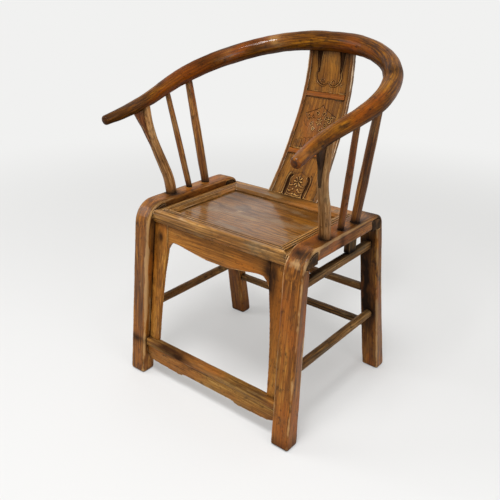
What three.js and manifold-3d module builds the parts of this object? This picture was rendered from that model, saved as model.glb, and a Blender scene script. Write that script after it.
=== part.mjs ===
// Chinese armchair with bent side frames, a horseshoe crest rail and a framed splat.
// Millimetres, +Z up. The front of the chair faces -Y; left and right are as seen from the front.
// The pieces are drawn from the front face of the front feet (y = 0) and the floor (z = 0). The
// whole chair is moved at the end, so that its origin lies on the floor under the middle of its box.

import * as THREE from 'three';
import { mergeVertices } from 'three/addons/utils/BufferGeometryUtils.js';
import Module from 'manifold-3d';

const wasm = await Module();
wasm.setup();

// Fits that all pieces share
const clearance = 0.3;
const overrun = 6;
const tongueThickness = 5;
const tongueLength = 5;

// Side frames: front leg, side rail and rear leg are one bent pole
const seatHeight = 500;
const sideRailHeight = 35;
const footSpread = 561;
const seatSpread = 541;
const footWidth = 51.5;
const frameWidth = 55.5;
const frontFootDepth = 45;
const frontLegTopDepth = 30;
const frontLegLean = 53;
const rearFootSetback = 447;
const rearFootDepth = 42;
const kneeHeight = 250;
const kneeSetback = 409;
const kneeDepth = 31;
const rearTopSetback = 377;
const rearTopDepth = 27;
const frontBendRadius = 60;
const rearBendRadius = 34;
const kneeBend = 37;
const footRound = 8;
const arrisRound = 5;

// Ends of the seat rails, which pass through the bends under a thin skin of the pole
const skinThickness = 10;
const railEndHeight = 29;
const frontEndDepth = 47;
const rearEndDepth = 41.5;

// Seat frame
const frameDrop = 14;
const frameHeight = 34;
const sideMemberWidth = 45;
const frontRailInset = 12.5;
const frontRailWidth = 39;
const rearRailInset = 7;
const rearRailWidth = 57;
const mitreDepth = 12;
const lipWidth = 6;
const stepHeight = 2.2;
const stepWidth = 4;
const reedDepth = 2.5;
const edgeRound = 4;
const sideLedgeWidth = 16;
const sideLedgeDrop = 5;
const memberTenonWidth = 24;
const memberTenonHeight = 8;
const memberTenonLength = 12;

// Seat panel and the two battens under it
const panelDrop = 9;
const panelThickness = 10;
const panelTongue = 8;
const battenOffset = 85;
const battenWidth = 28;
const battenHeight = 13;
const battenTenonWidth = 14;
const battenTenonLength = 10;
const battenTenonHeight = 7;

// Apron and the strips beside it, which lean back with the front legs
const apronFootSetback = 19;
const apronTopSetback = 71;
const apronThickness = 12;
const apronEndHeight = 67;
const stripTopWidth = 50;
const stripFootWidth = 34;
const stripTongueInset = 15;

// Foot rail between the front legs, and the board under it
const footRailHeight = 100;
const footRailSetback = 31.5;
const footRailHalfDepth = 11.5;
const footRailHalfHeight = 11;
const footTenonHalf = 7;
const footTenonLength = 26;
const footBoardDrop = 47;
const footBoardInset = 4;
const footBoardThickness = 12;

// Stretchers
const upperStretcherDrop = 90;
const upperStretcherHalfWidth = 10;
const upperStretcherHalfHeight = 12;
const lowerStretcherHeight = 193;
const lowerStretcherRadius = 12;
const rearUpperHeight = 263;
const rearLowerHeight = 143;
const rearStretcherHalf = 10;
const stretcherTenonHalf = 6;
const stretcherTenonLength = 14;
const rearTenonLength = 28;
const barRound = 3;

// Strut block between the side rail and the upper side stretcher
const strutHalfLength = 17;
const strutHalfWidth = 9;
const strutTenonRadius = 5;
const strutTenonLength = 9;

// Crest rail, one pole bent to a horseshoe and thinned towards its tips
const crestHalfSpan = 295;
const crestTipSetback = -8;
const crestBackSetback = 552;
const crestTipRise = 220;
const crestBackRise = 383;
const crestRadius = 27;

// Uprights between the side rails and the crest rail
const uprightOffset = 6;
const uprightTenonLength = 18;
const postLean = 50;
const postRadius = 15;
const postTenonRadius = 7;
const spindleLean = 31;
const spindleRadius = 8;
const rearSpindleLean = 12;
const rearSpindleRadius = 11.5;
const spindleTenonRadius = 4.5;

// Wing bracket in front of each front post
const wingThickness = 9;
const wingHeight = 104;
const wingReach = 30;
const wingTongueThickness = 4;
const wingTongueLength = 4;

// Splat: two stiles, two beads and three carved panels between them
const splatFootInset = 17;
const splatFootHalfWidth = 83;
const splatTopHalfWidth = 71;
const splatThickness = 12;
const stileWidth = 12;
const splatPanelInset = 2.5;
const splatPanelThickness = 7;
const splatTongue = 4;
const splatTenonLength = 12;
const splatTenonInset = 1;
const splatTenonThickness = 6;
const crestMortiseDepth = 14;
const beadHalfHeight = 6;
const beadProud = 2;

// Places along a side rail: share of the way from the front leg to the rear leg
const postPlaceShare = 0.279;
const middleSpindlePlaceShare = 0.514;
const strutPlaceShare = 0.714;
const rearSpindlePlaceShare = 0.738;

// Places along the crest rail from its tip to the middle of the back:
// share of the half span, of the way back, of the way up, and of the radius
const crestShares = [
  [0.954, 0.000, 0.000, 0.43],
  [0.937, 0.064, 0.049, 0.51],
  [0.931, 0.146, 0.118, 0.58],
  [0.939, 0.235, 0.197, 0.65],
  [0.963, 0.321, 0.276, 0.71],
  [0.991, 0.406, 0.356, 0.77],
  [1.000, 0.500, 0.449, 0.84],
  [0.969, 0.612, 0.563, 0.87],
  [0.878, 0.740, 0.698, 0.90],
  [0.711, 0.857, 0.832, 0.93],
  [0.482, 0.941, 0.936, 0.95],
  [0.240, 0.987, 0.989, 0.98],
  [0.000, 1.000, 1.000, 1.00],
];
const crestTipShares = [[0.35, 0.93], [0.62, 0.72], [0.78, 0.38]];

// The goose neck of a front post, from its foot to the crest rail:
// share of the height, of the way out, of the way forward, and of the radius
const postShares = [
  [0.00, 0.00, 0.00, 1.00],
  [0.16, 0.05, 0.12, 1.00],
  [0.32, 0.21, 0.36, 0.97],
  [0.48, 0.33, 0.66, 0.92],
  [0.64, 0.54, 0.90, 0.88],
  [0.80, 0.80, 0.98, 0.86],
  [1.00, 1.00, 1.00, 0.84],
];
const spindleShares = [[0, 1], [0.3, 1.06], [0.65, 0.98], [1, 0.86]];

// Front edge of a wing bracket: share of its height from the lower tip, share of its reach
const wingShares = [[0, 0], [0.22, 0.12], [0.45, 0.34], [0.62, 0.62], [0.78, 0.9], [1, 1]];

// Front face of the splat from the seat to the crest rail: share of the height, of the way back
const splatShares = [
  [0.00, 0.00],
  [0.12, 0.21],
  [0.24, 0.39],
  [0.37, 0.56],
  [0.50, 0.72],
  [0.63, 0.85],
  [0.77, 0.94],
  [0.89, 0.98],
  [1.00, 1.00],
];

// Middles of the two beads: share of the splat's height
const lowerBeadShare = 0.281;
const upperBeadShare = 0.671;

// Moulding on the front rail's face: share of the reeds' depth, of the way down the rail
const mouldingShares = [
  [0.5, 0.06],
  [0.5, 0.21],
  [1.0, 0.25],
  [0.0, 0.29],
  [0.0, 0.65],
  [1.0, 0.70],
  [0.5, 0.75],
  [0.5, 0.93],
];

// Where the tenon of an upright begins, between the last two places of its line
const neckShare = 0.5;

// Lower edge of the apron from the middle to one end: share of its half width, of its end height
const apronShares = [[0, 0.84], [0.24, 0.83], [0.5, 0.74], [0.82, 0.64], [0.93, 0.73], [1, 1]];
// Inner edge of a side strip from the foot rail up to the end of the apron:
// share of the height, share of the way from the foot width to the top width
const stripShares = [[0, 0], [0.35, 0.1], [0.69, 0.42], [0.86, 0.74], [1, 1]];
// Lower edge of the board under the foot rail: share of the half width, share of its height
const footBoardShares = [
  [0, 0.87],
  [0.36, 0.87],
  [0.4, 0.9],
  [0.42, 0.97],
  [0.46, 1],
  [0.88, 0.92],
  [1, 0.72],
];

// Heights that follow from the sizes above
const upperStretcherHeight = seatHeight - upperStretcherDrop;
const crestTipHeight = seatHeight + crestTipRise;
const crestBackHeight = seatHeight + crestBackRise;
const railBottom = seatHeight - sideRailHeight;
const railEndTop = seatHeight - skinThickness;
const railEndBottom = railEndTop - railEndHeight;
const frameTop = seatHeight - frameDrop;
const frameBottom = frameTop - frameHeight;
const mitreFloor = frameTop - mitreDepth;
const panelTop = frameTop - panelDrop;
const panelBottom = panelTop - panelThickness;
const grooveBottom = panelBottom - clearance;
const grooveTop = panelBottom + tongueThickness + clearance;

const apronEnd = frameBottom - apronEndHeight;
const apronTop = frameBottom - clearance;

const blend = (from, to, share) => from + (to - from) * share;

// Faces of the legs at a height
const outerX = (z) => blend(footSpread, seatSpread, z / seatHeight) / 2;
const innerX = (z) => outerX(z) - blend(footWidth, frameWidth, z / seatHeight);
const middleX = (z) => (outerX(z) + innerX(z)) / 2;
const frontLegFront = (z) => blend(0, frontLegLean, z / seatHeight);
const frontLegRear = (z) => frontLegFront(z) + blend(frontFootDepth, frontLegTopDepth, z / seatHeight);

function pastKnee(foot, knee, top, z) {
  if (z < kneeHeight) return blend(foot, knee, z / kneeHeight);
  return blend(knee, top, (z - kneeHeight) / (seatHeight - kneeHeight));
}

const rearLegFront = (z) => pastKnee(rearFootSetback, kneeSetback, rearTopSetback, z);
const rearLegRear = (z) => rearLegFront(z) + pastKnee(rearFootDepth, kneeDepth, rearTopDepth, z);

// Half the angle between the two straight parts of a rear leg, and the radius that bends it
const kneeTurn = Math.atan((rearFootSetback - kneeSetback) / kneeHeight)
  - Math.atan((kneeSetback - rearTopSetback) / (seatHeight - kneeHeight));
const kneeRadius = kneeBend / Math.tan(Math.abs(kneeTurn) / 2);

// Front plane of the apron and its strips
const apronFront = (z) => blend(apronFootSetback, apronTopSetback, z / frameBottom);

// Places that follow from the legs
const fasciaFront = frontLegFront(frameTop) + frontRailInset;
const recessFront = fasciaFront + frontRailWidth;
const frameRear = rearLegRear(frameTop) - rearRailInset;
const recessRear = frameRear - rearRailWidth;
const recessHalfWidth = innerX(frameTop) - clearance - sideMemberWidth;
const apronHalfWidth = innerX(apronEnd) - stripTopWidth;
const alongRail = (share) => blend(frontLegRear(seatHeight), rearTopSetback, share);
const postSetback = alongRail(postPlaceShare);
const middleSpindleSetback = alongRail(middleSpindlePlaceShare);
const strutSetback = alongRail(strutPlaceShare);
const rearSpindleSetback = alongRail(rearSpindlePlaceShare);
const splatFootSetback = frameRear - splatFootInset;

// Solids: closed three.js geometry in, joined or cut wood out

function solidOf(geometry) {
  const bare = geometry.clone();
  bare.deleteAttribute('normal');
  bare.deleteAttribute('uv');
  const merged = mergeVertices(bare);
  const corners = merged.index.array;
  const triangles = [];
  for (let i = 0; i < corners.length; i += 3) {
    const [a, b, c] = [corners[i], corners[i + 1], corners[i + 2]];
    if (a !== b && b !== c && c !== a) triangles.push(a, b, c);
  }
  return new wasm.Manifold(new wasm.Mesh({
    numProp: 3,
    vertProperties: new Float32Array(merged.attributes.position.array),
    triVerts: new Uint32Array(triangles),
  }));
}

function geometryOf(solid) {
  const mesh = solid.getMesh();
  const geometry = new THREE.BufferGeometry();
  geometry.setAttribute('position', new THREE.Float32BufferAttribute(mesh.vertProperties, mesh.numProp));
  geometry.setIndex(new THREE.BufferAttribute(mesh.triVerts, 1));
  return geometry;
}

function mapped(geometry, place) {
  const position = geometry.attributes.position;
  const point = new THREE.Vector3();
  for (let i = 0; i < position.count; i += 1) {
    place(point.fromBufferAttribute(position, i));
    position.setXYZ(i, point.x, point.y, point.z);
  }
  return geometry;
}

function mirrored(geometry) {
  const other = geometry.clone().scale(-1, 1, 1);
  const index = other.index.array;
  for (let i = 0; i < index.length; i += 3) {
    const kept = index[i];
    index[i] = index[i + 1];
    index[i + 1] = kept;
  }
  return other;
}

// Corners as [a, b] or [a, b, radius]; a corner with a radius becomes an arc
function outline(corners) {
  const arcStep = Math.PI / 18;
  const points = [];
  corners.forEach(([a, b, radius = 0], i) => {
    const here = new THREE.Vector2(a, b);
    if (radius === 0) {
      points.push(here);
      return;
    }
    const before = new THREE.Vector2(...corners.at(i - 1)).sub(here);
    const after = new THREE.Vector2(...corners[(i + 1) % corners.length]).sub(here);
    const room = Math.min(before.length(), after.length()) / 2;
    before.normalize();
    after.normalize();
    const half = Math.acos(before.dot(after)) / 2;
    const reach = Math.min(radius / Math.tan(half), room);
    const centre = before.clone().add(after).setLength(reach / Math.cos(half)).add(here);
    const start = here.clone().addScaledVector(before, reach).sub(centre);
    const turn = Math.PI - 2 * half;
    const side = Math.sign(after.cross(before));
    const steps = Math.max(2, Math.ceil(turn / arcStep));
    for (let k = 0; k <= steps; k += 1) {
      const angle = (side * turn * k) / steps;
      points.push(start.clone().rotateAround(new THREE.Vector2(), angle).add(centre));
    }
  });
  return points;
}

// A smooth line through rows of shares, as points that a function places
function smooth(rows, place, steps) {
  const curve = new THREE.SplineCurve(rows.map(([a, b]) => new THREE.Vector2(a, b)));
  return curve.getPoints(steps).map((p) => place(p.x, p.y));
}

function extruded(points, depth, round = 0) {
  const geometry = new THREE.ExtrudeGeometry(new THREE.Shape(points), {
    depth: depth - 2 * round,
    bevelEnabled: round > 0,
    bevelThickness: round,
    bevelSize: round,
    bevelOffset: -round,
    bevelSegments: 2,
  });
  return geometry.translate(0, 0, round);
}

const alongX = new THREE.Vector3(1, 0, 0);
const alongY = new THREE.Vector3(0, 1, 0);
const alongZ = new THREE.Vector3(0, 0, 1);
const pullX = new THREE.Matrix4().makeBasis(alongY, alongZ, alongX);
const pullY = new THREE.Matrix4().makeBasis(alongX, alongZ, alongY.clone().negate());

// Outlines in (y, z), (x, z) and (x, y), pulled along the third axis
function prismX(points, x0, x1) {
  return solidOf(extruded(points, x1 - x0).applyMatrix4(pullX).translate(x0, 0, 0));
}

function prismY(points, y0, y1) {
  return solidOf(extruded(points, y1 - y0).applyMatrix4(pullY).translate(0, y1, 0));
}

function prismZ(points, z0, z1) {
  return solidOf(extruded(points, z1 - z0).translate(0, 0, z0));
}

function block(x0, x1, y0, y1, z0, z1) {
  const box = new THREE.BoxGeometry(x1 - x0, y1 - y0, z1 - z0);
  return solidOf(box.translate((x0 + x1) / 2, (y0 + y1) / 2, (z0 + z1) / 2));
}

// A board in the leaning plane of the apron, between two depths behind its front
function leaningBoard(points, front, back) {
  const geometry = extruded(points, back - front).applyMatrix4(pullY).translate(0, back, 0);
  return solidOf(mapped(geometry, (p) => p.setY(p.y + apronFront(p.z))));
}

// Skin over rings of points, closed by a fan at each end
function loft(rings) {
  const count = rings[0].length;
  const points = rings.flat();
  const triangles = [];
  for (let i = 0; i + 1 < rings.length; i += 1) {
    for (let j = 0; j < count; j += 1) {
      const a = i * count + j;
      const b = i * count + ((j + 1) % count);
      triangles.push(a, b, b + count, a, b + count, a + count);
    }
  }
  const middle = (ring) => ring.reduce((sum, p) => sum.add(p), new THREE.Vector3()).divideScalar(count);
  const first = points.push(middle(rings[0])) - 1;
  const last = points.push(middle(rings.at(-1))) - 1;
  const lastRing = (rings.length - 1) * count;
  for (let j = 0; j < count; j += 1) {
    const next = (j + 1) % count;
    triangles.push(first, next, j, last, lastRing + j, lastRing + next);
  }
  let volume = 0;
  for (let i = 0; i < triangles.length; i += 3) {
    const [a, b, c] = [0, 1, 2].map((k) => points[triangles[i + k]]);
    volume += a.dot(new THREE.Vector3().crossVectors(b, c));
  }
  if (volume < 0) triangles.reverse();
  const geometry = new THREE.BufferGeometry().setFromPoints(points);
  geometry.setIndex(triangles);
  return solidOf(geometry);
}

// Rings for lofts: round, or square with its corners taken off
function roundRing(centre, u, v, radius, count) {
  return Array.from({ length: count }, (_, k) => {
    const angle = (2 * Math.PI * (k + 0.5)) / count;
    return centre.clone()
      .addScaledVector(u, radius * Math.cos(angle))
      .addScaledVector(v, radius * Math.sin(angle));
  });
}

function squareRing(centre, u, v, halfU, halfV, round) {
  const places = [
    [halfU, halfV - round], [halfU - round, halfV], [round - halfU, halfV], [-halfU, halfV - round],
    [-halfU, round - halfV], [round - halfU, -halfV], [halfU - round, -halfV], [halfU, round - halfV],
  ];
  return places.map(([a, b]) => centre.clone().addScaledVector(u, a).addScaledVector(v, b));
}

// A bar between two leg faces, its shoulders cut to those faces and a tenon on each end.
// axis is 'x' or 'y'; start and end give the place of a face at a height.
function tenonedBar({ axis, centre, start, end, ring, tenonRing, tenonLength }) {
  const onFace = (points, face) => points.map((p) => {
    const moved = p.clone();
    moved[axis] = face(p.z);
    return moved;
  });
  const startEnd = start(centre.z) - tenonLength;
  const finishEnd = end(centre.z) + tenonLength;
  const shape = (grow) => [
    onFace(tenonRing(grow), () => startEnd - grow),
    onFace(tenonRing(grow), start),
    onFace(ring, start),
    onFace(ring, end),
    onFace(tenonRing(grow), end),
    onFace(tenonRing(grow), () => finishEnd + grow),
  ];
  const [startTip, startRoot, , , endRoot, endTip] = shape(clearance);
  const pushed = (points, distance) => points.map((p) => {
    const moved = p.clone();
    moved[axis] += distance;
    return moved;
  });
  return {
    bar: loft(shape(0)),
    mortises: [
      loft([startTip, pushed(startRoot, overrun)]),
      loft([pushed(endRoot, -overrun), endTip]),
    ],
  };
}

// The crest rail's middle line, and its place where it passes over a setback on the right side

function crestPlace([span, back, up]) {
  return new THREE.Vector3(
    crestHalfSpan * span,
    blend(crestTipSetback, crestBackSetback, back),
    blend(crestTipHeight, crestBackHeight, up),
  );
}

const rightCrest = crestShares.map(crestPlace);
const leftCrest = rightCrest.slice(0, -1).map((p) => p.clone().setX(-p.x));
const crestPlaces = [...rightCrest, ...leftCrest.reverse()];
const crestLine = new THREE.CatmullRomCurve3(crestPlaces, false, 'centripetal');
const crestRadii = crestShares.map((row) => crestRadius * row[3]);
const crestRadiusRow = [...crestRadii, ...crestRadii.slice(0, -1).reverse()];

function crestRadiusAt(t) {
  const place = t * (crestRadiusRow.length - 1);
  const low = Math.min(Math.floor(place), crestRadiusRow.length - 2);
  return blend(crestRadiusRow[low], crestRadiusRow[low + 1], place - low);
}

function crestOver(setback) {
  let [low, high] = [0, 0.5];
  for (let i = 0; i < 40; i += 1) {
    const middle = (low + high) / 2;
    if (crestLine.getPoint(middle).y < setback) low = middle;
    else high = middle;
  }
  return crestLine.getPoint(low);
}

function crestSolid(grow) {
  const [ringCount, sideCount] = [64, 14];
  const ringAt = (t, shift, share) => {
    const along = crestLine.getTangent(t);
    const across = new THREE.Vector3().crossVectors(along, alongZ).normalize();
    const up = new THREE.Vector3().crossVectors(across, along);
    const centre = crestLine.getPoint(t).addScaledVector(along, shift);
    return roundRing(centre, across, up, crestRadiusAt(t) * share + grow, sideCount);
  };
  const tip = crestTipShares.map(([reach, share]) => [reach * (crestRadiusAt(0) + grow), share]);
  const rings = tip.toReversed().map(([reach, share]) => ringAt(0, -reach, share));
  for (let i = 0; i <= ringCount; i += 1) rings.push(ringAt(i / ringCount, 0, 1));
  tip.forEach(([reach, share]) => rings.push(ringAt(1, reach, share)));
  return loft(rings);
}

// Upright poles between a side rail and the crest rail, as level rings

function levelRing(x, y, z, radius) {
  return roundRing(new THREE.Vector3(x, y, z), alongX, alongY, radius, 10);
}

// line is a list of [x, y, z, radius] from foot to top; the top lies on the crest rail's middle line
function upright(line, tenonRadius, grow = 0) {
  const [footX, footY, footZ] = line[0];
  const [topX, topY, topZ] = line.at(-1);
  const [neckX, neckY, neckZ] = line.at(-2);
  const body = loft(line.map(([x, y, z, radius]) => levelRing(x, y, z, radius + grow)));
  const root = [[neckX, topX], [neckY, topY], [neckZ, topZ]].map(([a, b]) => blend(a, b, neckShare));
  const tenons = (more) => [
    loft([
      levelRing(footX, footY, footZ - uprightTenonLength - more, tenonRadius + more),
      levelRing(footX, footY, footZ + overrun, tenonRadius + more),
    ]),
    loft([
      levelRing(...root, tenonRadius + more),
      levelRing(topX, topY, topZ + more, tenonRadius + more),
    ]),
  ];
  return { body, tenons: tenons(0), mortises: tenons(clearance) };
}

const uprightFoot = (setback) => new THREE.Vector3(
  middleX(seatHeight) + uprightOffset,
  setback,
  seatHeight + clearance,
);

function straightLine(setback, lean, radius) {
  const foot = uprightFoot(setback);
  const top = crestOver(setback - lean);
  return spindleShares.map(([share, thick]) => [
    blend(foot.x, top.x, share),
    blend(foot.y, top.y, share),
    blend(foot.z, top.z, share),
    radius * thick,
  ]);
}

function gooseNeckLine() {
  const foot = uprightFoot(postSetback);
  const top = crestOver(postSetback - postLean);
  return postShares.map(([height, out, forward, thick]) => [
    blend(foot.x, top.x, out),
    blend(foot.y, top.y, forward),
    blend(foot.z, top.z, height),
    postRadius * thick,
  ]);
}

function lineAt(line, z) {
  const next = Math.max(1, line.findIndex((row) => row[2] >= z));
  const share = (z - line[next - 1][2]) / (line[next][2] - line[next - 1][2]);
  return line[next].map((value, k) => blend(line[next - 1][k], value, share));
}

// Wing bracket: a thin board in front of the goose neck, tongued into it, whose upper front
// corner ends on the crest rail's middle line
function wingSolid(line, halfThickness, tongue) {
  const top = line.at(-1)[2];
  const low = top - crestRadius / 2 - wingHeight;
  const rings = wingShares.map(([height, reach]) => {
    const z = blend(low, top, height);
    const [x, y, , radius] = lineAt(line, z);
    const back = y - radius + tongue;
    const front = y - radius - wingReach * reach - clearance;
    const frontZ = height < 1 ? z : crestOver(front).z;
    return [
      new THREE.Vector3(x - halfThickness, front, frontZ),
      new THREE.Vector3(x + halfThickness, front, frontZ),
      new THREE.Vector3(x + halfThickness, back, z),
      new THREE.Vector3(x - halfThickness, back, z),
    ];
  });
  return loft(rings);
}

// Splat: level slices at stations that all its parts share, between two depths behind its face

const splatTop = crestBackHeight - crestRadius + crestMortiseDepth;
const splatBottom = frameTop + clearance;
const splatTopSetback = crestBackSetback - splatThickness / 2;
const splatSlices = 12;
const splatCurve = new THREE.SplineCurve(splatShares.map(([up, back]) => new THREE.Vector2(up, back)));
const splatStations = Array.from({ length: splatSlices + 1 }, (_, i) => {
  const share = i / splatSlices;
  const { x: up, y: back } = splatCurve.getPoint(share);
  const tangent = splatCurve.getTangent(share);
  const lean = (tangent.y * (splatTopSetback - splatFootSetback)) / (tangent.x * (splatTop - splatBottom));
  return {
    z: blend(splatBottom, splatTop, up),
    face: blend(splatFootSetback, splatTopSetback, back),
    stretch: Math.hypot(1, lean),
  };
});

function splatDepth(z, depth) {
  const past = splatStations.findIndex((station) => station.z > z);
  const next = past < 0 ? splatStations.length - 1 : Math.max(1, past);
  const [low, high] = [splatStations[next - 1], splatStations[next]];
  const share = (z - low.z) / (high.z - low.z);
  return blend(low.face, high.face, share) + depth * blend(low.stretch, high.stretch, share);
}

const splatHalfWidth = (z) => blend(
  splatFootHalfWidth,
  splatTopHalfWidth,
  (z - splatBottom) / (splatTop - splatBottom),
);

// One slab of the splat; near and far give its x at a height
function splatSlab(z0, z1, depth0, depth1, near, far) {
  const between = splatStations
    .map(({ z }) => z)
    .filter((z) => z > z0 + clearance && z < z1 - clearance);
  return loft([z0, ...between, z1].map((z) => [
    new THREE.Vector3(near(z), splatDepth(z, depth0), z),
    new THREE.Vector3(far(z), splatDepth(z, depth0), z),
    new THREE.Vector3(far(z), splatDepth(z, depth1), z),
    new THREE.Vector3(near(z), splatDepth(z, depth1), z),
  ]));
}

const subtractAll = (solid, cuts) => cuts.reduce((sum, part) => sum.subtract(part), solid);
const addAll = (solid, parts) => parts.reduce((sum, part) => sum.add(part), solid);

// The seat frame's members: one section, from the seat's inner edge outwards
function memberSection(outerCorners) {
  return [
    [-lipWidth, frameBottom],
    [-lipWidth, grooveBottom],
    [panelTongue + clearance, grooveBottom],
    [panelTongue + clearance, grooveTop],
    [0, grooveTop],
    [0, frameTop - 2 * stepHeight],
    [stepWidth, frameTop - 2 * stepHeight],
    [stepWidth, frameTop - stepHeight],
    [2 * stepWidth, frameTop - stepHeight],
    [2 * stepWidth, frameTop],
    ...outerCorners,
  ];
}

// The D-shaped end of a seat rail inside a bend; toward is 1 at the front and -1 at the rear
function railEnd(toward, grow) {
  const face = toward > 0 ? frontLegFront : rearLegRear;
  const bend = toward > 0 ? frontBendRadius : rearBendRadius;
  const depth = toward > 0 ? frontEndDepth : rearEndDepth;
  const top = railEndTop + grow;
  const low = railEndBottom - grow;
  const deep = low - bend;
  const outside = (z) => face(z) + toward * (skinThickness - grow);
  const inside = outside(railEndTop) + toward * (depth + 2 * grow);
  const far = inside + toward * 2 * bend;
  const points = outline([
    [outside(deep), deep],
    [outside(top), top, bend - skinThickness + grow],
    [far, top],
    [far, deep],
  ]);
  const reach = outerX(0);
  const [front, rear] = toward > 0 ? [0, inside] : [inside, rearFootSetback];
  return prismX(points, -reach, reach).intersect(block(-reach, reach, front, rear, low, seatHeight));
}

// Space over the mitred corners that the side member on one side fills
function mitreCorner(grow) {
  const reach = innerX(frameTop) - clearance;
  const width = reach - recessHalfWidth;
  const past = 1 + overrun / width;
  const shift = clearance - grow;
  return (side) => prismZ(outline([
    [side * recessHalfWidth, recessFront + shift],
    [side * (recessHalfWidth + width * past), recessFront - (recessFront - fasciaFront) * past + shift],
    [side * (recessHalfWidth + width * past), recessRear + (frameRear - recessRear) * past - shift],
    [side * recessHalfWidth, recessRear - shift],
  ]), mitreFloor + shift, frameTop + overrun);
}

function seatRail(toward) {
  const edge = toward > 0 ? recessFront : recessRear;
  const width = toward > 0 ? recessFront - fasciaFront : frameRear - recessRear;
  const frontMoulding = [
    [width - edgeRound, frameTop],
    ...mouldingShares.map(([deep, down]) => [width - reedDepth * deep, frameTop - frameHeight * down]),
    [width - edgeRound, frameBottom],
  ];
  const rearEdge = [
    [width - edgeRound, frameTop],
    [width, frameTop - edgeRound],
    [width, frameBottom + edgeRound],
    [width - edgeRound, frameBottom],
  ];
  const section = memberSection(toward > 0 ? frontMoulding : rearEdge);
  const points = outline(section.map(([out, z]) => [edge - toward * out, z]));
  const cheek = (z) => innerX(z) - clearance;
  const reachInside = cheek(frameTop);
  const middle = extruded(points, 2 * reachInside).applyMatrix4(pullX).translate(-reachInside, 0, 0);
  mapped(middle, (p) => p.setX(Math.sign(p.x) * cheek(p.z)));
  const reach = outerX(railEndTop);
  const shoulder = Math.max(innerX(railEndTop), innerX(railEndBottom));
  const end = railEnd(toward, 0);
  const core = prismX(points, -reach, reach).intersect(end);
  const outsides = [-1, 1].map((side) => {
    const [x0, x1] = [side * shoulder, side * reach].sort((a, b) => a - b);
    return end.intersect(block(x0, x1, 0, rearFootSetback, frameBottom, seatHeight));
  });
  const corners = [-1, 1].map(mitreCorner(clearance));
  return addAll(subtractAll(solidOf(middle).add(core), corners), outsides);
}

// Seat side member on the right, mitred above and butted between the rails below
function sideMember() {
  const width = (z) => innerX(z) - clearance - recessHalfWidth;
  const ledge = sideMemberWidth - sideLedgeWidth;
  const section = memberSection([
    [ledge - 2 * stepWidth, frameTop],
    [ledge - stepWidth - stepWidth / 2, frameTop - stepHeight],
    [ledge - stepWidth, frameTop],
    [ledge, frameTop],
    [ledge, frameTop - sideLedgeDrop],
    [width(frameTop - sideLedgeDrop), frameTop - sideLedgeDrop],
    [width(frameBottom), frameBottom],
  ]);
  const points = outline(section.map(([out, z]) => [recessHalfWidth + out, z]));
  const long = prismY(points, fasciaFront, frameRear);
  const [front, rear] = [recessFront + lipWidth + clearance, recessRear - lipWidth - clearance];
  const between = block(0, seatSpread / 2, front, rear, frameBottom - overrun, frameTop + overrun);
  const body = long.intersect(between.add(mitreCorner(0)(1)));
  return { body, tenons: memberTenon(0), mortises: memberTenon(clearance) };
}

function memberTenon(grow) {
  const middle = (recessHalfWidth + innerX(frameTop)) / 2;
  const low = frameBottom + (grooveBottom - frameBottom - memberTenonHeight) / 2;
  const front = recessFront + lipWidth + clearance - memberTenonLength;
  const rear = recessRear - lipWidth - clearance + memberTenonLength;
  return [block(
    middle - memberTenonWidth / 2 - grow,
    middle + memberTenonWidth / 2 + grow,
    front - grow,
    rear + grow,
    low - grow,
    low + memberTenonHeight + grow,
  )];
}

function batten(side) {
  const [front, rear] = [recessFront + lipWidth + clearance, recessRear - lipWidth - clearance];
  const centre = side * battenOffset;
  const top = panelBottom - clearance;
  const low = top - battenHeight;
  const tenonLow = low + (battenHeight - battenTenonHeight) / 2;
  const tenon = (grow) => block(
    centre - battenTenonWidth / 2 - grow,
    centre + battenTenonWidth / 2 + grow,
    front - battenTenonLength - grow,
    rear + battenTenonLength + grow,
    tenonLow - grow,
    tenonLow + battenTenonHeight + grow,
  );
  const board = block(centre - battenWidth / 2, centre + battenWidth / 2, front, rear, low, top);
  return { body: board.add(tenon(0)), mortise: tenon(clearance) };
}

function seatPanel() {
  const main = block(
    clearance - recessHalfWidth,
    recessHalfWidth - clearance,
    recessFront + clearance,
    recessRear - clearance,
    panelBottom,
    panelTop,
  );
  const tongue = block(
    -recessHalfWidth - panelTongue,
    recessHalfWidth + panelTongue,
    recessFront - panelTongue,
    recessRear + panelTongue,
    panelBottom,
    panelBottom + tongueThickness,
  );
  return main.add(tongue);
}

// Apron, its end tongues and the long tongue in the front rail

const tongueFront = (apronThickness - tongueThickness) / 2;

function apron() {
  const half = smooth(apronShares, (out, down) => [
    apronHalfWidth * out,
    frameBottom - apronEndHeight * down,
  ], 30);
  const other = half.slice(1).map(([x, z]) => [-x, z]).reverse();
  const points = [...other, ...half, [apronHalfWidth, apronTop], [-apronHalfWidth, apronTop]];
  return leaningBoard(outline(points), 0, apronThickness);
}

function apronTongues(grow) {
  const low = frameBottom - apronEndHeight / 2;
  const high = frameBottom - tongueLength;
  const tongue = (reach, bottom, top) => leaningBoard(
    outline([[-reach, bottom], [reach, bottom], [reach, top], [-reach, top]]),
    tongueFront - grow,
    tongueFront + tongueThickness + grow,
  );
  return [
    tongue(apronHalfWidth + tongueLength + grow, low - grow, high + grow),
    tongue(apronHalfWidth - tongueLength + grow, high, frameBottom + tongueLength + grow),
  ];
}

const stripFoot = footRailHeight + footRailHalfHeight + clearance;

function sideStrip() {
  const inner = smooth(stripShares, (up, wide) => {
    const z = blend(stripFoot, apronEnd, up);
    return [innerX(z) - blend(stripFootWidth, stripTopWidth, wide), z];
  }, 18);
  const meet = apronHalfWidth + clearance;
  const edge = inner.slice(0, -1);
  const points = [
    ...edge,
    [meet, apronEnd],
    [meet, apronTop],
    [innerX(apronTop) - clearance, apronTop],
    [innerX(stripFoot) - clearance, stripFoot],
  ];
  return leaningBoard(outline(points), 0, apronThickness);
}

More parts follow.
